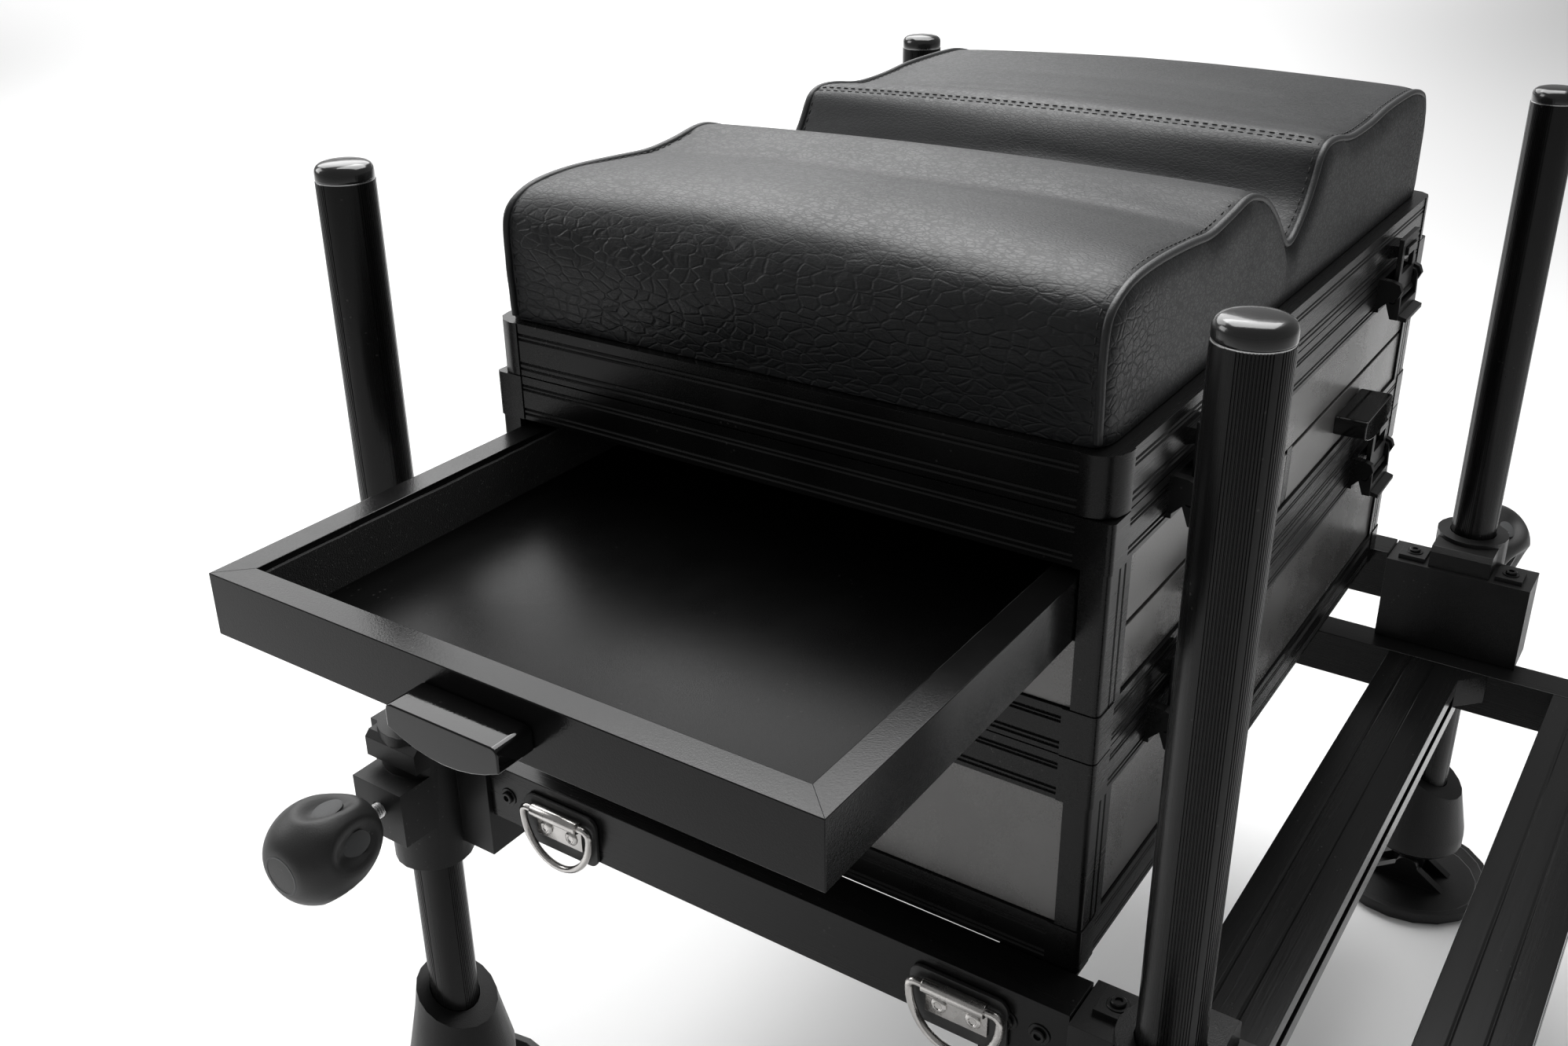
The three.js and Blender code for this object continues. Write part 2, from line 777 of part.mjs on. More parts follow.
// The cushion's outline across its two humps, as shares of its half width and of its height
const cushionOutlineShares = [
  [-0.988, 0], [-0.998, 0.3], [-1, 0.68], [-0.985, 0.84], [-0.92, 0.94], [-0.79, 0.975], [-0.6, 0.92],
  [-0.49, 0.925], [-0.37, 1], [-0.29, 0.965], [-0.21, 0.83], [-0.12, 0.58], [-0.068, 0.44],
  [-0.035, 0.5], [0.035, 0.66],
  [0.085, 0.93], [0.12, 1.05], [0.19, 1.03], [0.32, 0.965], [0.5, 0.985], [0.74, 1.01], [0.9, 0.985],
  [0.965, 0.9], [0.995, 0.68], [0.994, 0.3], [0.985, 0],
];
const cushionOutlineSteps = 52;

// Stations from the middle of the cushion towards the seam at its end
const cushionStationShares = [0.3, 0.62, 0.86];

function cushionStations() {
  const half = halfDepth - cushionInset;
  const seam = half - cushionSeamInset;
  const rows = [
    { y: 0, inset: 0 },
    ...cushionStationShares.map((share) => ({ y: seam * share, inset: 0 })),
    { y: seam - cushionSeamInset / 2, inset: 0 },
    { y: seam, inset: cushionSeamDepth },
    { y: half - cushionSeamInset / 3, inset: 0 },
    { y: half, inset: cushionEndPuff },
  ];
  const back = rows.map(({ y, inset }) => ({ y, inset, share: y / half }));
  const front = back.slice(1).map(({ y, inset, share }) => ({ y: -y, inset, share })).reverse();
  return [...front, ...back];
}

// Each station carries the outline, drawn in along its normal and crowned towards the middle
function cushion() {
  const half = halfWidth;
  const curve = new THREE.SplineCurve(
    cushionOutlineShares.map(([x, z]) => new THREE.Vector2(x * half, z * cushionHeight)),
  );
  const outline = [];
  for (let step = 0; step <= cushionOutlineSteps; step += 1) {
    const share = step / cushionOutlineSteps;
    outline.push({ point: curve.getPointAt(share), tangent: curve.getTangentAt(share) });
  }
  const base = seatTop + gap;
  const positions = [];
  const stations = cushionStations();
  for (const { y, inset, share } of stations) {
    for (const { point, tangent } of outline) {
      const height = point.y / cushionHeight;
      const hold = Math.min(1, height / cushionHeldShare);
      const x = point.x + tangent.y * inset * hold;
      const z = point.y - tangent.x * inset * hold + cushionCrown * height * (1 - share * share);
      positions.push(x, y, base + Math.max(0, z));
    }
  }
  const columns = outline.length;
  const index = [];
  for (let row = 0; row + 1 < stations.length; row += 1) {
    for (let column = 0; column < columns; column += 1) {
      const next = (column + 1) % columns;
      const here = row * columns;
      const there = here + columns;
      index.push(here + column, there + next, there + column, here + column, here + next, there + next);
    }
  }
  const endOutline = outline.map(({ point }) => point);
  const triangles = THREE.ShapeUtils.triangulateShape(endOutline, []);
  const last = (stations.length - 1) * columns;
  for (const [a, b, c] of triangles) {
    index.push(a, b, c, last + a, last + c, last + b);
  }
  const geometry = new THREE.BufferGeometry();
  geometry.setAttribute("position", new THREE.Float32BufferAttribute(positions, 3));
  geometry.setIndex(index);
  return geometry;
}

// Side rails under the box, with the brackets that carry its corners
function sideRail(side) {
  const half = legAlong - blockLength / 2 - gap;
  const outer = rectangle([side * railInner, side * railOuter], [railBottom, railRise]);
  const hollow = rectangle(
    [side * (railInner + railWall), side * (railOuter - railWall)],
    [railBottom + railWall, railRise - railWall],
  );
  const pieces = [extrude(outer, "y", [-half, half], [hollow])];
  for (const end of [-1, 1]) {
    const ys = [end * halfDepth, end * (halfDepth - bracketLength)];
    const xs = [side * (railInner + sink), side * (halfWidth - bracketReach)];
    pieces.push(block(xs, ys, [-gap, -gap - bracketThickness]));
  }
  return join(...pieces);
}

// Strap rings: a D of wire that hangs from a riveted plate on a soft pad
const ringCurlRadius = ringWire + gap + ringCurlWall;
const ringOut = railOuter + gap + ringPadThickness + ringCurlRadius;
const ringLevel = -ringHingeDrop;

class RingPath extends THREE.Curve {
  getPoint(share, target = new THREE.Vector3()) {
    const turn = Math.PI * share;
    return target.set(0, (ringWidth / 2) * Math.cos(turn), -ringDrop * Math.sin(turn));
  }
}

function strapRing() {
  const section = shapeOf(arc([0, 0], ringWire, 0, 2 * Math.PI, pinSides).slice(0, pinSides));
  const bow = new THREE.ExtrudeGeometry(section, { steps: 2 * arcSteps, extrudePath: new RingPath() });
  const half = ringWidth / 2 + ringWire;
  return join(toSolid(bow), bar("y", [0, 0], ringWire, [-half, half], pinSides));
}

function ringPlate() {
  const padOut = ringCurlRadius + ringPadThickness;
  const top = ringCurlRadius + ringPadThickness;
  const half = ringPadWidth / 2 - ringPadCorner;
  const low = top - ringPadHeight;
  const pad = extrude(
    [
      ...arc([half, top - ringPadCorner], ringPadCorner, 0, Math.PI / 2, cornerSteps),
      ...arc([-half, top - ringPadCorner], ringPadCorner, Math.PI / 2, Math.PI, cornerSteps),
      ...arc([-half, low + ringPadCorner], ringPadCorner, Math.PI, (3 * Math.PI) / 2, cornerSteps),
      ...arc([half, low + ringPadCorner], ringPadCorner, (3 * Math.PI) / 2, 2 * Math.PI, cornerSteps),
    ],
    "x",
    [padOut - ringPadThickness - sink / 2, padOut],
  );
  const width = about(0, ringPlateWidth);
  const plateOut = ringCurlRadius;
  const plate = block([plateOut - ringPlateThickness, plateOut], width, [-ringPlateDrop, 0]);
  const curl = bar("y", [0, 0], ringCurlRadius, width, coarseSides);
  const through = about(0, ringPlateWidth + overrun);
  const bore = bar("y", [0, 0], boreFor(ringWire, coarseSides), through, coarseSides);
  const pieces = [pad, cut(join(plate, curl), bore)];
  for (const side of [-1, 1]) {
    const centre = [side * rivetOffset, -(ringPlateDrop + ringCurlRadius) / 2];
    const faces = [plateOut - ringPlateThickness - rivetHeight, plateOut];
    pieces.push(bar("x", centre, rivetRadius, faces, pinSides));
  }
  return join(...pieces);
}

function addUnderframe(parent) {
  for (const [side, word] of [[-1, "left"], [1, "right"]]) {
    addMesh(parent, `side_rail_${word}`, sideRail(side), "frameBlack");
  }
  for (const [end, word] of [[-1, "front"], [1, "back"]]) {
    const ring = addMesh(parent, `strap_ring_${word}`, strapRing(), "steel");
    const plate = addMesh(parent, `strap_plate_${word}`, ringPlate(), "steel");
    ring.position.set(-ringOut, end * ringAlong, ringLevel);
    plate.position.set(-ringOut, end * ringAlong, ringLevel);
  }
}

// Leg blocks, about the leg's axis with the box towards -X: a sleeve, a long body for the rail, a square
// housing, the clamp that the knob screws into, and on the front ones a saddle for the footplate's slide
function legBlock(saddleSide) {
  const bore = boreFor(legRadius, fineSides);
  const body = block([-blockInner, -blockOuter], about(0, blockLength), [-blockBottom, 0]);
  const housing = extrude(
    [
      [-housingInner, -sink],
      [-housingInner, housingTop - housingChamfer],
      [-housingInner + housingChamfer, housingTop],
      [sleeveRadius - housingChamfer, housingTop],
      [sleeveRadius, housingTop - housingChamfer],
      [sleeveRadius, -sink],
    ],
    "y",
    about(0, housingWidth),
  );
  const clamp = block([0, clampReach], about(0, clampWidth), [-clampTop - clampHeight, -clampTop]);
  const sleeve = bar("z", [0, 0], sleeveRadius, [-sleeveBottom, sleeveTop], fineSides);
  const gusset = extrude(
    [
      [slideOuter + gap - legSide, -blockBottom + sink],
      [0, -blockBottom + sink],
      [0, -sleeveBottom],
      [-sleeveRadius, -sleeveBottom],
    ],
    "y",
    about(0, gussetWidth),
  );
  const pieces = [body, housing, clamp, sleeve, gusset];
  for (const end of [-1, 1]) {
    const centre = -lugInner + lugWidth / 2;
    pieces.push(block(about(centre, lugWidth), about(end * lugAlong, lugWidth), [-sink, lugRise]));
  }
  if (saddleSide) {
    const wall = slideOuter + gap - legSide;
    const length = about(0, saddleLength);
    const low = slideBottom - gap - saddleWall;
    pieces.push(
      block([wall, wall + saddleWall], length, [low, -blockBottom + sink]),
      block([wall - saddleLip, wall + saddleWall], length, [low, low + saddleWall]),
    );
  }
  const legPath = bar("z", [0, 0], bore, [-sleeveBottom - overrun, sleeveTop + overrun], fineSides);
  const solid = cut(join(...pieces), legPath);
  const stud = bar("x", [0, -knobDrop], boreFor(studRadius, pinSides), [0, clampReach + overrun], pinSides);
  return cut(solid, stud);
}

// Legs: fluted tubes with a domed cap
function fluteOutline() {
  const points = [];
  const bandAngle = (2 * Math.PI) / fluteBands;
  const fluteAngle = (bandAngle * fluteBandShare) / flutesInBand;
  for (let bandIndex = 0; bandIndex < fluteBands; bandIndex += 1) {
    const start = bandIndex * bandAngle;
    for (let flute = 0; flute < flutesInBand; flute += 1) {
      const ridge = start + flute * fluteAngle;
      const valley = ridge + fluteAngle / 2;
      points.push([legRadius * Math.cos(ridge), legRadius * Math.sin(ridge)]);
      const inner = legRadius - fluteDepth;
      points.push([inner * Math.cos(valley), inner * Math.sin(valley)]);
    }
    const plain = bandAngle * (1 - fluteBandShare);
    const from = start + flutesInBand * fluteAngle;
    points.push(...arc([0, 0], legRadius, from, from + (plain * 2) / 3, 2));
  }
  return points;
}

function leg(top) {
  const seam = top - capHeight;
  const tube = extrude(fluteOutline(), "z", [legBottom, seam]);
  const cap = turned(
    [
      [0, seam - sink],
      [legRadius - capSeam, seam - sink],
      [legRadius - capSeam, seam + capSeam],
      [legRadius, seam + capSeam],
      [legRadius, top - capCrown * 2],
      [legRadius - capCrown, top - capCrown / 2],
      [legRadius - capCrown * 2, top],
      [0, top],
    ],
    fineSides,
  );
  const hollow = bar("z", [0, 0], legRadius - legWall, [legBottom - overrun, seam - capHeight], coarseSides);
  return cut(join(tube, cap), hollow);
}

// Knobs turn about the X axis: an egg with scooped flanks on a stud
const knobRadiusShares = [[0, 0.55], [0.1, 0.82], [0.3, 0.98], [0.45, 1], [0.7, 0.9], [0.9, 0.72], [1, 0.56]];

function knob() {
  const profile = [[0, 0]];
  for (const [along, radius] of knobRadiusShares) {
    profile.push([knobRadius * radius, knobLength * along]);
  }
  profile.push([0, knobLength]);
  const egg = turned(profile, knobScoops * 4);
  const scoops = [];
  for (let index = 0; index < knobScoops; index += 1) {
    const geometry = new THREE.SphereGeometry(1, coarseSides, coarseSides / 2);
    geometry.scale(scoopDepth * 2, scoopWidth / 2, scoopLength / 2);
    geometry.translate(knobRadius + scoopDepth, 0, knobLength * scoopPlaceShare);
    geometry.rotateZ((2 * Math.PI * (index + 0.5)) / knobScoops);
    scoops.push(toSolid(geometry));
  }
  const stud = bar("z", [0, 0], studRadius, [-knobStandOff - studDepth, sink], pinSides);
  return join(cut(egg, ...scoops), stud);
}

// Feet: a slanted socket with a tongue that tilts between the ears of a round disc
function footSocket() {
  const flareBottom = socketBottom + tongueRadius;
  const flare = [
    [0, socketBottom],
    [tongueRadius, socketBottom],
    [socketFlareRadius - tongueRadius / 2, flareBottom - tongueRadius / 2],
    [socketFlareRadius, flareBottom],
    [socketFlareRadius, flareBottom + tongueRadius],
    [(socketFlareRadius + socketTopRadius) / 2, (flareBottom + socketTop) / 2],
    [socketTopRadius, socketTop],
    [0, socketTop],
  ];
  const bore = bar(
    "z", [0, 0], boreFor(legRadius, fineSides), [legBottom - gap, socketTop + overrun], fineSides);
  const reach = socketFlareRadius * 2;
  const slant = extrude(
    [[-reach, socketTop - socketMouthSlant * 2], [0, socketTop - socketMouthSlant], [reach, socketTop],
      [reach, socketTop + reach], [-reach, socketTop + reach]],
    "x",
    [-reach, reach],
  );
  const tongue = block(
    about(0, tongueThickness), about(0, tongueRadius * 2), [footPivot, socketBottom + sink]);
  const round = bar("x", [0, footPivot], tongueRadius, about(0, tongueThickness), coarseSides);
  const pinHole = bar("x", [0, footPivot], boreFor(footPinRadius, pinSides), about(0, reach), pinSides);
  return join(cut(turned(flare, fineSides), bore, slant), cut(join(tongue, round), pinHole));
}

function footDisc() {
  const bottom = -footPivotRise;
  const floor = bottom + discThickness;
  const disc = turned(
    [
      [0, bottom],
      [discRadius - discThickness / 2, bottom],
      [discRadius, floor],
      [discRadius, floor + discRim],
      [discRadius - discRimWidth, floor + discRim],
      [discRadius - discRimWidth * 2, floor],
      [0, floor],
    ],
    fineSides,
  );
  const pieces = [disc];
  const inner = tongueThickness / 2 + gap;
  for (const side of [-1, 1]) {
    const xs = [side * inner, side * (inner + footEarThickness)];
    const ear = [
      [-discRadius / 2, floor - sink],
      [discRadius / 2, floor - sink],
      ...arc([0, 0], footEarRadius, 0, Math.PI, arcSteps),
    ];
    pieces.push(extrude(ear, "x", xs));
  }
  pieces.push(bar("x", [0, 0], footPinRadius, about(0, 2 * (inner + sink)), pinSides));
  return join(...pieces);
}

// Each corner is one assembly, placed about its leg's axis and turned so that its clamp points outward
function addLegs(parent) {
  for (const [sideX, sideY] of corners) {
    const word = `${sideY < 0 ? "front" : "back"}_${sideX < 0 ? "left" : "right"}`;
    const assembly = new THREE.Group();
    assembly.position.set(sideX * legSide, sideY * legAlong, 0);
    parent.add(assembly);
    const outward = new THREE.Group();
    outward.rotation.z = sideX < 0 ? Math.PI : 0;
    assembly.add(outward);
    addMesh(outward, `leg_block_${word}`, legBlock(sideY < 0), "castingBlack");
    const handle = addMesh(outward, `clamp_knob_${word}`, knob(), "plasticBlack");
    handle.position.set(clampReach + knobStandOff, 0, -knobDrop);
    handle.rotation.y = Math.PI / 2;
    addMesh(assembly, `leg_${word}`, leg(sideX < 0 ? leftLegTop : rightLegTop), "frameBlack");
    addMesh(assembly, `foot_socket_${word}`, footSocket(), "plasticBlack");
    const disc = addMesh(assembly, `foot_disc_${word}`, footDisc(), "plasticBlack");
    disc.position.z = footPivot;
  }
}

// Footplate frame: two hollow slides and two grooved cross rails between them
function crossRail(middle, bracketed) {
  const front = -middle - crossDepth / 2;
  const back = -middle + crossDepth / 2;
  const bottom = slideTop - crossHeight;
  const slot = (slideTop + bottom) / 2;
  const outline = [[front, bottom], [back, bottom], [back, slideTop]];
  for (const share of crossGrooveShares) {
    const place = back - crossDepth * share;
    outline.push([place + grooveWidth / 2, slideTop], [place, slideTop - grooveDepth]);
    outline.push([place - grooveWidth / 2, slideTop]);
  }
  outline.push(
    [front, slideTop],
    [front, slot + crossSlotHeight / 2],
    [front + crossSlotDepth, slot + crossSlotHeight / 2],
    [front + crossSlotDepth, slot - crossSlotHeight / 2],
    [front, slot - crossSlotHeight / 2],
  );
  const hollow = rectangle(
    [front + crossSlotDepth + crossWall, back - crossWall],
    [bottom + crossWall, slideTop - crossWall],
  );
  const half = slideInner - gap;
  const pieces = [extrude(outline, "x", [-half, half], [hollow])];
  for (const side of bracketed ? [-1, 1] : []) {
    const bracket = [
      [side * half, front + sink],
      [side * (half - cornerBracket), front + sink],
      [side * (half - cornerBracket), front],
      [side * half, front - cornerBracket],
    ];
    pieces.push(extrude(bracket, "z", [slideTop - cornerBracketHeight, slideTop]));
  }
  return join(...pieces);
}

function footplateSlide(side) {
  const outer = rectangle([side * slideInner, side * slideOuter], [slideBottom, slideTop]);
  const hollow = rectangle(
    [side * (slideInner + slideWall), side * (slideOuter - slideWall)],
    [slideBottom + slideWall, slideTop - slideWall],
  );
  const tube = extrude(outer, "y", [-slideFront + sink, slideBack], [hollow]);
  const cap = block(
    [side * slideInner, side * slideOuter],
    [-slideFront, -slideFront + endCapThickness],
    [slideBottom, slideTop],
  );
  return join(tube, cap);
}

function addFootplate(parent) {
  for (const [side, word] of [[-1, "left"], [1, "right"]]) {
    addMesh(parent, `footplate_slide_${word}`, footplateSlide(side), "frameBlack");
  }
  addMesh(parent, "footplate_rail_near", crossRail(nearCross, true), "frameBlack");
  addMesh(parent, "footplate_rail_far", crossRail(farCross, false), "frameBlack");
}

addBaseModule(seatBox);
const drawerStack = new THREE.Group();
seatBox.add(drawerStack);
addDrawerModule(drawerStack);
const seatLid = new THREE.Group();
drawerStack.add(seatLid);
addSeat(seatLid);
addMesh(seatLid, "seat_cushion", toSolid(cushion()), "leatherBlack");
addUnderframe(seatBox);
addLegs(seatBox);
addFootplate(seatBox);

// Stand the object on z = 0, centred on its outline
const outline = new THREE.Box3().setFromObject(seatBox, true);
const middle = outline.getCenter(new THREE.Vector3());
seatBox.position.set(-middle.x, -middle.y, -outline.min.z);

export default model;
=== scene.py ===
"""Fishing seat box: the looks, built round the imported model.

Metres, +Z up, and the angler faces -Y. Every piece takes its place from the CAD node that it dresses or replaces.
"""

import json
import logging
import math
from contextlib import contextmanager
from dataclasses import dataclass
from enum import Enum
from typing import Callable, Iterator, Sequence

import bpy
from mathutils import Matrix, Vector, noise

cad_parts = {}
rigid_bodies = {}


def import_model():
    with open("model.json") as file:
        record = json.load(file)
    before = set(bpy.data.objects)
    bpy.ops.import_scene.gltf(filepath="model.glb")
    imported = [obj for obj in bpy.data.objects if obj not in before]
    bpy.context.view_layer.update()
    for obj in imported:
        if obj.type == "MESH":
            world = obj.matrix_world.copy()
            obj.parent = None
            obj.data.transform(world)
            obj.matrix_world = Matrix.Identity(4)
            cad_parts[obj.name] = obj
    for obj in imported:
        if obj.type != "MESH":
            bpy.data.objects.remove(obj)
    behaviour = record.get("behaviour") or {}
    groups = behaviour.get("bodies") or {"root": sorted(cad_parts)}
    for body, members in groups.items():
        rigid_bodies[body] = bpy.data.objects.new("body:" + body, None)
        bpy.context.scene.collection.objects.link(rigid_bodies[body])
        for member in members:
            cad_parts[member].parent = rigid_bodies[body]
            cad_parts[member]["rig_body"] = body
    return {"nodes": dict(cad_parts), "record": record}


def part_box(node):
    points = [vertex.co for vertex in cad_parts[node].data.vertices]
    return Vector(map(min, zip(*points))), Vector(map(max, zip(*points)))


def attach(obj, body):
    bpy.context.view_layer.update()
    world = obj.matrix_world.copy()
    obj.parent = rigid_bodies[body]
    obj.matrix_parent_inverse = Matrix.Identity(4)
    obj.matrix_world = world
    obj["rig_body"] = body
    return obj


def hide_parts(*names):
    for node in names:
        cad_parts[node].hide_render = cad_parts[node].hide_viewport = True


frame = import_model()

log = logging.getLogger("seat_box")

Colour = tuple[float, float, float]
Point = tuple[float, float, float]


class Axis(Enum):
    """The three directions that a piece can run along."""

    X = 0
    Y = 1
    Z = 2


class Corner(Enum):
    """The four legs, by the sides of the box that they stand at."""

    FRONT_LEFT = "front_left"
    FRONT_RIGHT = "front_right"
    BACK_RIGHT = "back_right"
    BACK_LEFT = "back_left"


class Side(Enum):
    """The two sides of the box."""

    LEFT = "left"
    RIGHT = "right"


# Node trees


class Graph:
    """A node tree with short ways to add nodes and to join their sockets."""

    def __init__(self, tree: bpy.types.NodeTree) -> None:
        """Wrap a node tree."""
        self.tree = tree

    def add(self, kind: str, inputs: dict | None = None, **settings: object) -> bpy.types.Node:
        """Add a node.

        Args:
            kind: the node's type.
            inputs: a value or an output socket for each input, by name or number.
            settings: the node's own properties.

        Returns:
            The new node.
        """
        node = self.tree.nodes.new(kind)
        for name, value in settings.items():
            setattr(node, name, value)
        for key, value in (inputs or {}).items():
            if isinstance(value, bpy.types.NodeSocket):
                self.tree.links.new(value, node.inputs[key])
            else:
                node.inputs[key].default_value = value
        return node

    def math(self, operation: str, first: object, second: object = 0.0) -> bpy.types.NodeSocket:
        """Add a Math node and return its output."""
        return self.add("ShaderNodeMath", {0: first, 1: second}, operation=operation).outputs[0]

    def ramp(self, factor: bpy.types.NodeSocket, low: float, high: float) -> bpy.types.NodeSocket:
        """Stretch a value so that low becomes 0 and high becomes 1, and return it."""
        found = {"Value": factor, "From Min": low, "From Max": high}
        return self.add("ShaderNodeMapRange", found, interpolation_type="SMOOTHSTEP").outputs[0]

    def blend(self, factor: object, low: object, high: object) -> bpy.types.NodeSocket:
        """Mix two colours and return the result."""
        return self.add("ShaderNodeMix", {0: factor, 6: low, 7: high}, data_type="RGBA").outputs[2]

    def mix(self, factor: object, low: object, high: object) -> bpy.types.NodeSocket:
        """Mix two numbers and return the result."""
        return self.add("ShaderNodeMix", {0: factor, 2: low, 3: high}, data_type="FLOAT").outputs[0]


class EffectGroup:
    """A shader node group with named inputs and outputs, built once and placed in each material."""

    def __init__(self, name: str, inputs: Sequence[tuple[str, str]], outputs: Sequence[tuple[str, str]]) -> None:
        """Make the group and its sockets.

        Args:
            name: the group's name.
            inputs: the name and the socket type of each input.
            outputs: the name and the socket type of each output.
        """
        self.tree = bpy.data.node_groups.new(name, "ShaderNodeTree")
        for socket, kind in inputs:
            self.tree.interface.new_socket(socket, in_out="INPUT", socket_type=f"NodeSocket{kind}")
        for socket, kind in outputs:
            self.tree.interface.new_socket(socket, in_out="OUTPUT", socket_type=f"NodeSocket{kind}")
        self.graph = Graph(self.tree)
        self.given = self.graph.add("NodeGroupInput").outputs
        self.result = self.graph.add("NodeGroupOutput").inputs

    def give(self, name: str, value: bpy.types.NodeSocket) -> None:
        """Join a value to one of the group's outputs."""
        self.tree.links.new(value, self.result[name])

    def place(self, graph: Graph, inputs: dict) -> bpy.types.Node:
        """Put the group into a material's tree and return its node."""
        return graph.add("ShaderNodeGroup", inputs, node_tree=self.tree)


def surface_group() -> EffectGroup:
    """Make the effect that every finish uses: slow changes of tone and gloss, and a fine grain.

    Returns:
        The group.
    """
    group = EffectGroup(
        "surface",
        [("Vector", "Vector"), ("Patch", "Float"), ("Dark", "Color"), ("Light", "Color"),
         ("Smooth", "Float"), ("Rough", "Float"), ("Grain", "Float")],
        [("Color", "Color"), ("Roughness", "Float"), ("Height", "Float")],
    )
    graph, given = group.graph, group.given
    patches = graph.add(
        "ShaderNodeTexNoise", {"Vector": given["Vector"], "Scale": given["Patch"], "Detail": 3.0, "Roughness": 0.55})
    grain = graph.add(
        "ShaderNodeTexNoise", {"Vector": given["Vector"], "Scale": given["Grain"], "Detail": 2.0, "Roughness": 0.6})
    share = graph.ramp(patches.outputs["Fac"], 0.32, 0.68)
    group.give("Color", graph.blend(share, given["Dark"], given["Light"]))
    speckle = graph.math("MULTIPLY", graph.math("SUBTRACT", grain.outputs["Fac"], 0.5), 0.12)
    gloss = graph.mix(share, given["Smooth"], given["Rough"])
    group.give("Roughness", graph.math("ADD", gloss, speckle))
    group.give("Height", grain.outputs["Fac"])
    return group


def dust_group() -> EffectGroup:
    """Make the effect of sparse fine specks and short hair scratches, as a mask.

    Returns:
        The group.
    """
    group = EffectGroup("dust", [("Vector", "Vector"), ("Amount", "Float")], [("Mask", "Float")])
    graph, given = group.graph, group.given
    specks = graph.add("ShaderNodeTexVoronoi", {"Vector": given["Vector"], "Scale": 260.0}, feature="F1")
    rare = graph.add("ShaderNodeTexNoise", {"Vector": given["Vector"], "Scale": 31.0, "Detail": 2.0})
    near = graph.add(
        "ShaderNodeMapRange", {"Value": specks.outputs["Distance"], "From Min": 0.06, "From Max": 0.16,
                               "To Min": 1.0, "To Max": 0.0}).outputs[0]
    some = graph.ramp(rare.outputs["Fac"], 0.56, 0.64)
    group.give("Mask", graph.math("MULTIPLY", graph.math("MULTIPLY", near, some), given["Amount"]))
    return group


def leather_group() -> EffectGroup:
    """Make pressed leather: irregular pebbles between creases, larger and deeper where Coarse is high.

    Returns:
        The group.
    """
    group = EffectGroup(
        "leather",
        [("Vector", "Vector"), ("Pebble", "Float"), ("Fine", "Float"), ("Coarse", "Float")],
        [("Height", "Float"), ("Crease", "Float")],
    )
    graph, given = group.graph, group.given
    wander = graph.add("ShaderNodeTexNoise", {"Vector": given["Vector"], "Scale": 90.0, "Detail": 2.0})
    centred = graph.add(
        "ShaderNodeVectorMath", {0: wander.outputs["Color"], 1: (0.5, 0.5, 0.5)}, operation="SUBTRACT")
    nudge = graph.add("ShaderNodeVectorMath", {0: centred.outputs[0], "Scale": 0.0035}, operation="SCALE")
    bent = graph.add("ShaderNodeVectorMath", {0: given["Vector"], 1: nudge.outputs[0]}, operation="ADD").outputs[0]
    large = graph.add(
        "ShaderNodeTexVoronoi", {"Vector": bent, "Scale": given["Pebble"], "Randomness": 1.0},
        feature="DISTANCE_TO_EDGE")
    fine_scale = graph.math("MULTIPLY", given["Pebble"], 2.7)
    small = graph.add(
        "ShaderNodeTexVoronoi", {"Vector": bent, "Scale": fine_scale, "Randomness": 1.0},
        feature="DISTANCE_TO_EDGE")
    folds = graph.add(
        "ShaderNodeTexNoise", {"Vector": bent, "Scale": 75.0, "Detail": 4.0, "Roughness": 0.6, "Distortion": 0.6})
    big = graph.ramp(large.outputs["Distance"], 0.0, 0.14)
    little = graph.ramp(small.outputs["Distance"], 0.0, 0.2)
    fold = graph.ramp(folds.outputs["Fac"], 0.35, 0.65)
    coarse = graph.math("MULTIPLY", graph.math("ADD", big, graph.math("MULTIPLY", fold, 0.6)), given["Coarse"])
    fine = graph.math("MULTIPLY", little, given["Fine"])
    group.give("Height", graph.math("ADD", coarse, fine))
    group.give("Crease", graph.math("SUBTRACT", 1.0, graph.math("MULTIPLY", big, little)))
    return group


SURFACE = surface_group()
DUST = dust_group()
LEATHER = leather_group()


def grey(level: float, warmth: float = 0.0) -> Colour:
    """Return a linear grey, a little redder than neutral for a positive warmth and bluer for a negative one."""
    return (level * (1 + warmth), level, level * (1 - warmth))


